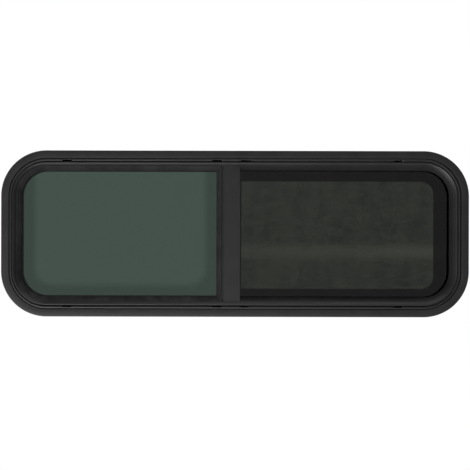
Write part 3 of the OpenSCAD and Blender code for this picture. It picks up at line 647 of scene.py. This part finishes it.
def ramp(tree, value, low, high, to_low=0.0, to_high=1.0, shape="LINEAR"):
    """Value brought from one range to another and kept inside it."""
    ends = {"From Min": low, "From Max": high, "To Min": to_low, "To Max": to_high}
    made = wired(tree, "ShaderNodeMapRange", {**ends, "Value": value}, interpolation_type=shape)
    return made.outputs["Result"]


def smooth_ramp(tree, value, low, high):
    return ramp(tree, value, low, high, shape="SMOOTHSTEP")


def coat_grain_group():
    """Orange peel of a sprayed or powdered coat: height and cloudy patches."""
    tree, given, result = group("coat_grain", {"Grain": 1.0}, ("Height", "Patches"))
    scaled = vector_maths(tree, "SCALE", given.outputs["Vector"], given.outputs["Grain"])
    peel = maths(tree, "MULTIPLY", noise(tree, scaled, 900, 2), 0.7)
    fine = maths(tree, "MULTIPLY", noise(tree, scaled, 3400, 2), 0.3)
    link(tree, maths(tree, "ADD", peel, fine), result.inputs["Height"])
    link(tree, noise(tree, given.outputs["Vector"], 22, 4), result.inputs["Patches"])
    return tree


def edge_wear_group():
    """Mask along sharp edges, broken up so that the rub is uneven; on the metal coats it also paints a
    highlight.
    """
    tree, given, result = group("edge_wear_and_highlight", {"Reach": 0.0004})
    rounded = wired(tree, "ShaderNodeBevel", {"Radius": given.outputs["Reach"]}, samples=4)
    plain = node(tree, "ShaderNodeNewGeometry")
    alike = vector_maths(tree, "DOT_PRODUCT", rounded.outputs[0], plain.outputs["Normal"])
    edge = ramp(tree, alike, 0.995, 0.93)
    broken = ramp(tree, noise(tree, given.outputs["Vector"], 260, 3), 0.38, 0.62)
    link(tree, maths(tree, "MULTIPLY", edge, broken), result.inputs["Mask"])
    return tree


def recess_shade_group():
    """Mask of narrow grooves and inner corners, where shade is painted."""
    tree, given, result = group("recess", {"Reach": 0.0012})
    shelter = wired(tree, "ShaderNodeAmbientOcclusion", {"Distance": given.outputs["Reach"]}, samples=8)
    deep = ramp(tree, shelter.outputs["AO"], 0.80, 0.42)
    uneven = ramp(tree, noise(tree, given.outputs["Vector"], 90, 3), 0.3, 0.7, 0.75, 1.0)
    link(tree, maths(tree, "MULTIPLY", deep, uneven), result.inputs["Mask"])
    return tree


def light_dust_group():
    """Thin dust, thicker on faces that look up."""
    tree, given, result = group("light_dust", {"Amount": 0.5})
    shape = node(tree, "ShaderNodeNewGeometry")
    upward = ramp(tree, axes(tree, shape.outputs["Normal"])["Z"], -0.2, 1.0, 0.25, 1.0)
    cloud = ramp(tree, noise(tree, given.outputs["Vector"], 60, 6, 0.62), 0.42, 0.75)
    settled = maths(tree, "MULTIPLY", upward, cloud)
    link(tree, maths(tree, "MULTIPLY", settled, given.outputs["Amount"]), result.inputs["Mask"])
    return tree


# Materials

def material(name):
    """New material with its Principled shader and its object coordinates."""
    made = bpy.data.materials.new(name)
    made.use_nodes = True
    tree = made.node_tree
    shader = tree.nodes["Principled BSDF"]
    where = node(tree, "ShaderNodeTexCoord").outputs["Object"]
    return made, tree, shader, where


def placed(tree, shared, where, **values):
    """Outputs of a shared group, with the values that differ from its own."""
    return wired(tree, "ShaderNodeGroup", {"Vector": where, **values}, node_tree=shared).outputs


def blended(tree, amount, first, second):
    """Colour between two, by a mask; each is a colour or another node's output."""
    made = node(tree, "ShaderNodeMix", data_type="RGBA")
    link(tree, amount, made.inputs[0])
    for colour, socket in ((first, made.inputs[6]), (second, made.inputs[7])):
        feed(tree, (*colour, 1) if isinstance(colour, tuple) else colour, socket)
    return made.outputs[2]


def times(colour, share):
    return tuple(part * share for part in colour)


def stretched(tree, where, scale):
    """Coordinates scaled by axis, so that noise on them makes streaks."""
    return wired(tree, "ShaderNodeMapping", {"Scale": scale, "Vector": where}).outputs[0]


def bumped(tree, shader, height, depth, strength=1.0):
    made = wired(tree, "ShaderNodeBump", {"Distance": depth, "Strength": strength, "Height": height})
    link(tree, made.outputs[0], shader.inputs["Normal"])


def coloured(tree, shader, colour, roughness):
    link(tree, colour, shader.inputs["Base Color"])
    feed(tree, roughness, shader.inputs["Roughness"])


def coated_metal(name, dark, light, gloss, grain=1.0, dust=0.12):
    """Satin black coat on aluminium: orange peel, faint patches, rubbed edges that are also a painted
    highlight, thin dust, and painted shade that makes grooves and recesses near black and without gloss.
    """
    made, tree, shader, where = material(name)
    coat = placed(tree, COAT_GRAIN, where, Grain=grain)
    wear = placed(tree, EDGE_WEAR_AND_HIGHLIGHT, where)
    dirt = placed(tree, LIGHT_DUST, where, Amount=dust)
    recess = placed(tree, RECESS_SHADE, where)
    colour = blended(tree, ramp(tree, coat["Patches"], 0.35, 0.65), dark, light)
    # Rubbed edges, lighter: wear, and also a painted highlight along the edges
    colour = blended(tree, maths(tree, "MULTIPLY", wear["Mask"], 0.6), colour, RUBBED_AND_HIGHLIT_METAL)
    colour = blended(tree, dirt["Mask"], colour, METAL_DUST)
    # Painted shade: the groove mark and the recess mask make the coat near black there, and Metallic takes
    # its gloss away
    groove = node(tree, "ShaderNodeAttribute", attribute_name=GROOVE_SHADE_MARK).outputs["Fac"]
    deep = maths(tree, "MAXIMUM", recess["Mask"], groove)
    link(tree, deep, shader.inputs["Metallic"])
    rough = ramp(tree, coat["Patches"], 0.3, 0.7, gloss - 0.04, gloss + 0.05)
    rough = maths(tree, "ADD", rough, maths(tree, "MULTIPLY", dirt["Mask"], 0.3))
    rough = maths(tree, "ADD", rough, maths(tree, "MULTIPLY", deep, 0.5))
    coloured(tree, shader, blended(tree, deep, colour, PAINTED_GROOVE_SHADE), rough)
    bumped(tree, shader, coat["Height"], 0.00004, 0.6)
    return made


def rim_shade_group():
    """Mask of painted shade that grows toward the left, right and lower edges of a round-cornered pane."""
    tree, given, result = group("rim_shade", FIXED_RIM_SHADE)
    place = axes(tree, given.outputs["Vector"])
    over = []
    for axis, middle, half in (("X", "Middle X", "Half width"), ("Z", "Middle Z", "Half height")):
        away = maths(tree, "ABSOLUTE", maths(tree, "SUBTRACT", place[axis], given.outputs[middle]))
        straight = maths(tree, "SUBTRACT", given.outputs[half], given.outputs["Corner"])
        over.append(maths(tree, "SUBTRACT", away, straight))
    squares = [maths(tree, "POWER", maths(tree, "MAXIMUM", side, 0.0), 2.0) for side in over]
    round_part = maths(tree, "SQRT", maths(tree, "ADD", *squares))
    flat_part = maths(tree, "MINIMUM", maths(tree, "MAXIMUM", *over), 0.0)
    depth = maths(tree, "SUBTRACT", given.outputs["Corner"], maths(tree, "ADD", round_part, flat_part))
    share = maths(tree, "DIVIDE", depth, given.outputs["Reach"])
    link(tree, smooth_ramp(tree, share, 1.0, 0.42), result.inputs["Mask"])
    return tree


def clear_glass(name):
    made, tree, shader, where = material(name)
    shader.inputs["Transmission Weight"].default_value = 1.0
    shader.inputs["Roughness"].default_value = 0.0
    shader.inputs["IOR"].default_value = 1.52
    bumped(tree, shader, noise(tree, where, 7, 1), 0.0004, 0.12)
    return made, tree, shader, where


def fixed_tint_and_rim_shade(name, tint):
    """Tinted glass with painted shade, softly darker toward the frame except along the top."""
    made, tree, shader, where = clear_glass(name)
    rim = placed(tree, RIM_SHADE, where)
    body = blended(tree, noise(tree, where, 5, 2), times(tint, 0.98), times(tint, 1.02))
    # Painted shade: the tint darkens toward the frame
    link(tree, blended(tree, rim["Mask"], body, times(tint, 0.68)), shader.inputs["Base Color"])
    return made


def sliding_tint_and_reflection(name, tint):
    """Tinted glass in front of the screen, with a fine uneven cast and a faint light band of painted
    reflection.
    """
    made, tree, shader, where = clear_glass(name)
    along = stretched(tree, where, (0.3, 1, 1))
    upright = stretched(tree, where, (1, 1, 0.3))
    cloud = noise(tree, along, 26, 3, 0.6)
    body = blended(tree, ramp(tree, cloud, 0.35, 0.65), times(tint, 0.60), times(tint, 1.15))
    layers = (
        # mask, its strength, share of the tint
        (ramp(tree, noise(tree, along, 120, 3, 0.65), 0.38, 0.62), 0.7, 1.6),
        (ramp(tree, noise(tree, where, 190, 2, 0.6), 0.40, 0.60), 0.7, 0.55),
        (ramp(tree, noise(tree, upright, 42, 2, 0.5), 0.40, 0.60), 0.35, 1.5),
    )
    for mask, strength, share in layers:
        body = blended(tree, maths(tree, "MULTIPLY", mask, strength), body, times(tint, share))
    # Painted reflection: a light band across the pane, stronger toward the right
    place = axes(tree, where)
    away = maths(tree, "ABSOLUTE", maths(tree, "SUBTRACT", place["Z"], REFLECTION_BAND_UP))
    growing = ramp(tree, place["X"], 0.0, REFLECTION_BAND_RIGHT, 0.55, 1.1)
    reflection_band = maths(tree, "MULTIPLY", smooth_ramp(tree, away, REFLECTION_BAND_HALF, 0.0), growing)
    reflection_band = maths(tree, "MULTIPLY", reflection_band, ramp(tree, cloud, 0.35, 0.65, 0.7, 1.0))
    link(tree, blended(tree, reflection_band, body, times(tint, 1.95)), shader.inputs["Base Color"])
    return made


def moulded(name, colour, gloss, grain, depth):
    """Moulded plastic or rubber, with a fine spark-eroded grain and a little dust."""
    made, tree, shader, where = material(name)
    coat = placed(tree, COAT_GRAIN, where, Grain=grain)
    wear = placed(tree, EDGE_WEAR_AND_HIGHLIGHT, where, Reach=0.0003)
    dirt = placed(tree, LIGHT_DUST, where, Amount=0.35)
    pale = tuple(part * 1.6 + 0.01 for part in colour)
    body = blended(tree, ramp(tree, coat["Patches"], 0.35, 0.65), colour, pale)
    body = blended(tree, maths(tree, "MULTIPLY", wear["Mask"], 0.4), body, RUBBED_PLASTIC)
    body = blended(tree, dirt["Mask"], body, PLASTIC_DUST)
    rough = ramp(tree, coat["Patches"], 0.3, 0.7, gloss - 0.05, gloss + 0.05)
    coloured(tree, shader, body, rough)
    bumped(tree, shader, coat["Height"], depth, 0.8)
    return made


def bright_steel(name, dark, light):
    """Plated steel with rolling lines and small stains."""
    made, tree, shader, where = material(name)
    shader.inputs["Metallic"].default_value = 1.0
    lines = noise(tree, stretched(tree, where, (0.04, 1, 1)), 4000, 3)
    dirt = placed(tree, LIGHT_DUST, where, Amount=0.6)
    colour = blended(tree, dirt["Mask"], blended(tree, lines, dark, light), STEEL_STAIN)
    coloured(tree, shader, colour, ramp(tree, lines, 0.3, 0.7, 0.28, 0.42))
    bumped(tree, shader, lines, 0.00002, 0.5)
    return made


def pile_strip(name):
    """Short dense fibres, dark and dull."""
    made, tree, shader, where = material(name)
    shader.inputs["Sheen Weight"].default_value = 0.4
    shader.inputs["Sheen Roughness"].default_value = 0.5
    strands = noise(tree, where, 5200, 2)
    colour = blended(tree, strands, (0.012, 0.012, 0.012), (0.06, 0.06, 0.06))
    coloured(tree, shader, colour, ramp(tree, strands, 0.3, 0.7, 0.85, 1.0))
    bumped(tree, shader, strands, 0.0003)
    return made


COAT_GRAIN = coat_grain_group()
EDGE_WEAR_AND_HIGHLIGHT = edge_wear_group()
LIGHT_DUST = light_dust_group()
RECESS_SHADE = recess_shade_group()
RIM_SHADE = rim_shade_group()
SWEEP = sweep_tree()
WIRES = wire_tree()
SCATTER = scatter_tree()

BLACK_COAT = coated_metal("black_coat", (0.015, 0.015, 0.0155), (0.019, 0.019, 0.0195), 0.36)
SCREEN_COAT = coated_metal("screen_coat", (0.012, 0.012, 0.0125), (0.017, 0.017, 0.0175), 0.42, 1.3)
RING_COAT = coated_metal("ring_coat", (0.014, 0.014, 0.0145), (0.020, 0.020, 0.0205), 0.38, 1.1, 0.35)
FIXED_TINT_AND_RIM_SHADE = fixed_tint_and_rim_shade("fixed_tint_and_rim_shade", (0.047, 0.074, 0.059))
SLIDING_TINT_AND_REFLECTION = sliding_tint_and_reflection("sliding_tint_and_reflection", (0.0345, 0.0395, 0.0305))
RUBBER = moulded("black_rubber", (0.013, 0.013, 0.013), 0.62, 1.2, 0.00006)
PLASTIC = moulded("black_plastic", (0.017, 0.017, 0.017), 0.48, 1.7, 0.00005)
STEEL = bright_steel("plated_steel", (0.42, 0.42, 0.42), (0.62, 0.61, 0.60))
SCREW_STEEL = bright_steel("black_zinc_steel", (0.05, 0.05, 0.052), (0.09, 0.09, 0.092))
PILE = pile_strip("pile_strip")
WIRE = moulded("coated_wire", (0.030, 0.030, 0.028), 0.5, 2.0, 0.00002)


# Pieces

def solid_object(name, form):
    """Object of a built form, with its faces turned outward."""
    bmesh.ops.recalc_face_normals(form, faces=form.faces)
    mesh = bpy.data.meshes.new(name)
    form.to_mesh(mesh)
    form.free()
    return linked(name, mesh)


def obround(length, width, steps):
    """Outline with round ends, about its middle."""
    half = (length - width) / 2
    return arc((half, 0), width / 2, -90, 90, steps) + arc((-half, 0), width / 2, 90, 270, steps)


def prisms(name, pairs):
    """Closed prisms, each between two outlines of points in millimetres."""
    form = bmesh.new()
    for pair in pairs:
        near, far = ([form.verts.new([value * MM for value in point]) for point in rim] for rim in pair)
        form.faces.new(near)
        form.faces.new(list(reversed(far)))
        for i in range(len(near)):
            j = (i + 1) % len(near)
            form.faces.new((near[j], near[i], far[i], far[j]))
    return solid_object(name, form)


def weep_cutter():
    """Prisms through the ledge at each weep slot, above and below."""
    rim = obround(WEEP_L, WEEP_W, 12)
    depths = (GROOVE_T / 2, GROOVE_T / 2 + LEDGE_H + LEDGE_RISE)
    levels = [CENTRE_UP + side * (WINDOW_H / 2 - WEEP_U) for side in (-1, 1)]
    return prisms("weep_cutter", [
        [[(x + p, -h, z + q) for p, q in rim] for h in depths]
        for x in WEEP_XS for z in levels
    ])


def drain_cutter():
    """Upright prisms through both tracks' floors, above and below."""
    rim = obround(DRAIN_L, DRAIN_W, 8)
    reach = 1.5 * FLOOR_T
    pairs = []
    for x, outward in zip(WEEP_XS, (1, -1, 1, -1)):
        middle = x + outward * DRAIN_OFFSET
        for side in (-1, 1):
            level = CENTRE_UP + side * (WINDOW_H / 2 - TRACK_U)
            for h in DRAIN_HS:
                pairs.append([[(middle + p, -(h + q), level + shift) for p, q in rim]
                              for shift in (-reach, reach)])
    return prisms("drain_cutter", pairs)


def turned(name, profile, sides):
    """Round solid about the Y axis from (radius, y) points, the first and last of them on the axis."""
    form = bmesh.new()
    angles = [2 * math.pi * i / sides for i in range(sides)]
    rings = []
    for radius, y in profile:
        if radius == 0:
            rings.append([form.verts.new((0, y * MM, 0))] * sides)
        else:
            rings.append([form.verts.new((radius * math.cos(a) * MM, y * MM, radius * math.sin(a) * MM))
                          for a in angles])
    for low, high in zip(rings, rings[1:]):
        for i in range(sides):
            j = (i + 1) % sides
            form.faces.new(list(dict.fromkeys((low[i], low[j], high[j], high[i]))))
    return solid_object(name, form)


def block(name, low, high):
    """Box from two corners in millimetres."""
    form = bmesh.new()
    bmesh.ops.create_cube(form, size=1)
    for vert in form.verts:
        vert.co = Vector([(low[i] + high[i]) / 2 + vert.co[i] * (high[i] - low[i]) for i in range(3)]) * MM
    return solid_object(name, form)


def pan_screw(head_r, head_h, shank_r, shank_l):
    """Pan head screw with a cross recess, its head above y = 0 and its shank below."""
    shank = [(0, -shank_l), (shank_r * 0.5, -shank_l + 0.6), (shank_r, -shank_l + 2), (shank_r, 0)]
    dome = [(head_r * math.cos(a), head_h * (0.45 + 0.55 * math.sin(a)))
            for a in [math.radians(angle) for angle in (0, 18, 36, 54, 70, 82)]]
    profile = shank + [(head_r * 0.97, 0)] + dome + [(0, head_h)]
    screw = turned("pan_screw", profile, SCREW_SIDES)
    arm = head_r * 0.58
    slot = head_r * 0.16
    deep = head_h * 0.35
    cut_by(screw, block("slot_a", (-arm, deep, -slot), (arm, head_h * 1.5, slot)),
           block("slot_b", (-slot, deep, -arm), (slot, head_h * 1.5, arm)))
    shade(screw, SCREW_SMOOTH_ANGLE)
    return screw


def fasteners(name, places, fastener, seed, finish):
    """Copies of a fastener set on places in millimetres, each turned at random up to a full turn."""
    points = drawn(name + "_places", places)
    piece = run_tree(points, SCATTER, name,
                     {"Fastener": fastener, "Turn": 2 * math.pi, "Seed": seed, "Finish": finish})
    discard(points, fastener)
    dressed(piece, "steel")


def ring_screws():
    """Screws that draw the clamp ring toward the frame, through its holes into the screw race."""
    side_up = WINDOW_H / 2 - RACE_U
    side_out = WINDOW_W / 2 - RACE_U
    bend_x = WINDOW_W / 2 - WINDOW_R
    bend_z = WINDOW_H / 2 - WINDOW_R
    diagonal = (WINDOW_R - RACE_U) * math.sin(math.radians(45))
    spots = []
    for side in (-1, 1):
        for i in range(RING_SCREWS_LONG):
            spots.append(((i / (RING_SCREWS_LONG - 1) - 0.5) * RING_SCREW_SPAN_LONG, side * side_up))
        for end in (-1, 1):
            spots.append((side * side_out, end * bend_z))
            spots.append((side * (bend_x + diagonal), end * (bend_z + diagonal)))
    places = [(x, RING_BACK_Y, CENTRE_UP + z) for x, z in spots]
    fasteners("ring_screws", places, pan_screw(*RING_SCREW), 4, SCREW_STEEL)


def cut_by(piece, *cutters):
    """Cut solids out of a piece one after the other."""
    for cutter in cutters:
        cut = piece.modifiers.new("cut", "BOOLEAN")
        cut.operation = "DIFFERENCE"
        cut.solver = "EXACT"
        cut.object = cutter
        bpy.context.view_layer.update()
        applied(piece)
    discard(*cutters)


def from_outline(x, z):
    """Distance inward from the window's outline, in millimetres."""
    out_x = abs(x) - (WINDOW_W / 2 - WINDOW_R)
    out_z = abs(z - CENTRE_UP) - (WINDOW_H / 2 - WINDOW_R)
    return WINDOW_R - math.hypot(max(out_x, 0), max(out_z, 0)) - min(max(out_x, out_z), 0)


def mark_grooves(piece):
    """Mark the bottoms of the two fine grooves round the frame, which see hardly any light, for painted
    shade.
    """
    grooves = (
        # start, end, lowest and highest level
        (FLANGE_LAP - GROOVE_W / 2, FLANGE_LAP + GROOVE_W / 2, GROOVE_T, FLANGE_EDGE_T - FLANGE_GROOVE_RIM),
        (FLOOR_OUT_U - FOOT_GROOVE_W, FLOOR_OUT_U, LEDGE_H - FOOT_GROOVE_D, LEDGE_H - FOOT_GROOVE_RIM),
    )
    mark = piece.data.attributes.new(GROOVE_SHADE_MARK, "FLOAT", "POINT")
    for i, vert in enumerate(piece.data.vertices):
        u = from_outline(vert.co.x / MM, vert.co.z / MM)
        h = -vert.co.y / MM
        inside = any(start - MARK_SLACK_U < u < end + MARK_SLACK_U and low - MARK_SLACK_H < h < high
                     for start, end, low, high in grooves)
        mark.data[i].value = 1.0 if inside else 0.0


def frame_extrusion():
    """The frame's section swept round, with its weep slots and drain holes cut."""
    stations = rounded_stations(WINDOW_W, WINDOW_H, WINDOW_R, 40)
    piece = swept("frame_extrusion", stations, frame_section(), BLACK_COAT)
    cut_by(piece, weep_cutter(), drain_cutter())
    mark_grooves(piece)
    shade(piece, SMOOTH_ANGLE)
    dressed(weighted(piece), "black_frame", "outer_frame")


def screen_wires():
    """Wires both ways, trimmed to the sheet's outline with its two round corners."""
    low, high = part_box("screen_mesh")
    left, right = low.x / MM, high.x / MM
    bottom, top = low.z / MM, high.z / MM
    level = (low.y + high.y) / 2 / MM
    near, far = level - MESH_WIRE_R / 2, level + MESH_WIRE_R / 2
    ends = []

    def cut_back(distance):
        inside = max(0.0, MESH_CORNER_R - distance)
        return MESH_CORNER_R - math.sqrt(max(0.0, MESH_CORNER_R * MESH_CORNER_R - inside * inside))

    for i in range(1, int((right - left) / MESH_PITCH)):
        x = left + i * MESH_PITCH
        trim = cut_back(right - x)
        ends += [(x, near, bottom + trim), (x, near, top - trim)]
    for i in range(1, int((top - bottom) / MESH_PITCH)):
        z = bottom + i * MESH_PITCH
        trim = cut_back(min(z - bottom, top - z))
        ends += [(left, far, z), (right - trim, far, z)]
    lines = drawn("wire_lines", ends, [(i, i + 1) for i in range(0, len(ends), 2)])
    piece = run_tree(lines, WIRES, "screen_wires",
                     {"Wire radius": MESH_WIRE_R * MM, "Wire sides": MESH_WIRE_SIDES, "Finish": WIRE})
    discard(lines)
    closed_and_smooth(piece, WIRE_SMOOTH_ANGLE)
    dressed(piece, "screen_cloth", "screen_mesh")


def close_butt(piece):
    """Draw the ring's two ends together until they all but touch, as its screws do."""
    for vert in piece.data.vertices:
        off = vert.co.x / MM - RING_BUTT_X
        if abs(off) < RING_BUTT and vert.co.z < CENTRE_UP * MM:
            vert.co.x = (RING_BUTT_X + math.copysign(RING_BUTT_SEEN / 2, off)) * MM


def eased_copies():
    """CAD solids whose shape is right: copies with eased edges and smooth round faces."""
    rows = (
        # CAD solid, its copy, finish, material slot, edge easing, smoothing angle
        ("clamp_ring", "inner_clamp_ring", RING_COAT, "black_ring", 0, 32),
        ("fixed_glass_bead", "glazing_bead", RUBBER, "black_rubber", 0, 32),
        ("mullion_post", "mullion_extrusion", BLACK_COAT, "black_frame", 0.15, 32),
        ("mullion_cover", "mullion_strip", BLACK_COAT, "black_frame", 0.15, 32),
        ("top_glass_run", "upper_run", RUBBER, "black_rubber", 0.2, 32),
        ("bottom_glass_run", "lower_run", RUBBER, "black_rubber", 0.2, 32),
        ("jamb_glass_run", "jamb_run", RUBBER, "black_rubber", 0, 32),
        ("travel_stops", "end_stops", RUBBER, "black_rubber", 0.8, 32),
        ("meeting_rail", "meeting_channel", BLACK_COAT, "black_frame", 0.25, 32),
        ("rail_guides", "sliding_guides", PLASTIC, "black_plastic", 0.4, 32),
        ("latch_body", "latch_case", PLASTIC, "black_plastic", 0.6, 40),
        ("latch_tongue", "latch_bolt", STEEL, "steel", 0.3, 32),
        ("latch_button", "thumb_button", PLASTIC, "black_plastic", 0.35, 40),
        ("screen_frame", "screen_bars", SCREEN_COAT, "black_screen_frame", 0.25, 32),
        ("screen_clips", "spring_clips", STEEL, "steel", 0.25, 32),
        ("screen_pulls", "pull_tabs", PLASTIC, "black_plastic", 0.4, 40),
        ("fixed_glass", "fixed_pane", FIXED_TINT_AND_RIM_SHADE, "tinted_glass", 0.4, 15),
        ("sliding_glass", "sliding_pane", SLIDING_TINT_AND_REFLECTION, "tinted_glass", 0.4, 15),
    )
    for cad_name, name, finish, slot, ease, angle in rows:
        piece = worn_copy(cad_name, name, finish, ease, angle)
        if cad_name == "clamp_ring":
            close_butt(piece)
        dressed(piece, slot, cad_name)


def plain_nodes():
    """CAD solids that show as they are, with their own finish."""
    finishes = {
        "fixed_glass_tape": RUBBER,
        "setting_blocks": RUBBER,
        "mullion_seal": PILE,
        "screen_corner_keys": PLASTIC,
        "screen_spline": RUBBER,
        "screen_seal": PILE,
    }
    for cad_name, finish in finishes.items():
        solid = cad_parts[cad_name]
        solid.data.materials.clear()
        solid.data.materials.append(finish)


def latch_screws():
    """Screws through the latch's two ears."""
    low, high = (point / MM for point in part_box("latch_body"))
    x = (low.x + high.x) / 2
    places = [(x, low.y + LATCH_EAR_T, z) for z in (low.z + LATCH_EAR_L / 2, high.z - LATCH_EAR_L / 2)]
    fasteners("latch_screws", places, pan_screw(*LATCH_SCREW), 7, SCREW_STEEL)


def clip_rivets():
    """Rivets that hold the screen's clips to the rear fin."""
    low, high = (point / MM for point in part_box("screen_clips"))
    level = CENTRE_UP + WINDOW_H / 2 - CLIP_RIVET_U
    places = []
    for clip_x in (low.x + CLIP_L / 2, high.x - CLIP_L / 2):
        places += [(clip_x + side * CLIP_RIVET_STEP, high.y, level) for side in (-1, 1)]
    shank = [(0, -RIVET_SHANK_L), (RIVET_SHANK_R, -RIVET_SHANK_L), (RIVET_SHANK_R, 0)]
    dome = [(RIVET_R * math.cos(a), RIVET_H * math.sin(a)) for a in (0, 0.4, 0.8, 1.15)]
    rivet = turned("rivet", shank + dome + [(0, RIVET_H)], RIVET_SIDES)
    fasteners("clip_rivets", places, rivet, 2, STEEL)


# Camera, lamps and floor

def camera():
    """Camera at the photograph's place, square to the window."""
    lens = bpy.data.cameras.new("camera")
    lens.sensor_width = SENSOR
    lens.lens = SENSOR * PHOTO_FOCAL / PHOTO_SIZE
    made = linked("camera", lens)
    made.location = (0, -CAMERA_BACK, CAMERA_UP)
    made.rotation_euler = (math.radians(90), math.radians(-CAMERA_ROLL), 0)
    bpy.context.scene.camera = made


def lamp(name, place, size, watts, reflected=True):
    """Soft lamp turned toward the window's middle."""
    light = bpy.data.lights.new(name, "AREA")
    light.shape = "RECTANGLE"
    light.size, light.size_y = size
    light.energy = watts
    made = linked(name, light)
    made.visible_transmission = False
    made.visible_glossy = reflected
    made.location = place
    toward = Vector((0, 0, CENTRE_UP * MM)) - Vector(place)
    made.rotation_euler = toward.to_track_quat("-Z", "Y").to_euler()


def background_rays(tree, behind):
    """Mask of the rays that see the white background; glossy ones see it only behind the window."""
    path = node(tree, "ShaderNodeLightPath")
    direct = maths(tree, "MAXIMUM", path.outputs["Is Camera Ray"], path.outputs["Is Transmission Ray"])
    return maths(tree, "MAXIMUM", direct, maths(tree, "MULTIPLY", path.outputs["Is Glossy Ray"], behind))


def facing(tree, way):
    """How nearly a ray goes a given way, from 1 straight along it to -1 against it."""
    ray = node(tree, "ShaderNodeTexCoord").outputs["Generated"]
    return vector_maths(tree, "DOT_PRODUCT", ray, Vector(way).normalized())


def room_colour(tree):
    """Dim walls, lit in front and behind, with a soft bright patch, over dark ground."""
    wall = ramp(tree, maths(tree, "ABSOLUTE", facing(tree, WALL_WAY)), *WALL_FADE)
    colour = blended(tree, maths(tree, "POWER", wall, WALL_FALL), DIM_WALL, LIT_WALL)
    outer, inner = (math.cos(math.radians(angle)) for angle in (PATCH_OUTER, PATCH_INNER))
    patch = smooth_ramp(tree, facing(tree, PATCH_WAY), outer, inner)
    colour = blended(tree, patch, colour, (PATCH_STRENGTH,) * 3)
    ground = smooth_ramp(tree, facing(tree, DOWN), *GROUND_FADE)
    return blended(tree, ground, colour, DARK_GROUND)


def studio():
    """The room that is reflected, the white background and two lamps."""
    world = bpy.data.worlds.new("studio")
    bpy.context.scene.world = world
    world.use_nodes = True
    tree = world.node_tree
    tree.nodes.clear()
    room = wired(tree, "ShaderNodeBackground", {"Color": room_colour(tree)})
    white = wired(tree, "ShaderNodeBackground", {"Color": (1, 1, 1, 1)})
    behind = smooth_ramp(tree, facing(tree, BEHIND), *BEHIND_FADE)
    mixed = node(tree, "ShaderNodeMixShader")
    link(tree, background_rays(tree, behind), mixed.inputs[0])
    link(tree, room.outputs[0], mixed.inputs[1])
    link(tree, white.outputs[0], mixed.inputs[2])
    out = node(tree, "ShaderNodeOutputWorld")
    link(tree, mixed.outputs[0], out.inputs[0])
    lamp("high_softbox", (0.3, -1.8, 1.9), (2.0, 1.0), 8)
    lamp("rear_fill", (0.4, 2.4, 1.0), (2.0, 1.4), 24, reflected=False)


def floor():
    """Pale floor that keeps the window's shadow and glows for the rays that see the background."""
    near = [(-FLOOR_SIDE, FLOOR_NEAR, FLOOR_UP), (FLOOR_SIDE, FLOOR_NEAR, FLOOR_UP)]
    far = [(FLOOR_SIDE, FLOOR_FAR, FLOOR_UP), (-FLOOR_SIDE, FLOOR_FAR, FLOOR_UP)]
    made = drawn("floor", near + far, faces=[(0, 1, 2, 3)])
    pale, tree, shader, where = material("pale_floor")
    colour = blended(tree, noise(tree, where, 3, 3), (0.78, 0.78, 0.77), (0.82, 0.82, 0.81))
    coloured(tree, shader, colour, 0.8)
    behind = smooth_ramp(tree, axes(tree, where)["Y"], *FLOOR_FADE)
    glow = wired(tree, "ShaderNodeEmission",
                 {"Color": (0.62, 0.62, 0.61, 1), "Strength": background_rays(tree, behind)})
    both = node(tree, "ShaderNodeAddShader")
    link(tree, shader.outputs[0], both.inputs[0])
    link(tree, glow.outputs[0], both.inputs[1])
    link(tree, both.outputs[0], tree.nodes["Material Output"].inputs["Surface"])
    made.data.materials.append(pale)


bpy.context.scene.view_settings.view_transform = "Standard"
frame_extrusion()
ring_screws()
latch_screws()
clip_rivets()
screen_wires()
eased_copies()
plain_nodes()
camera()
studio()
floor()
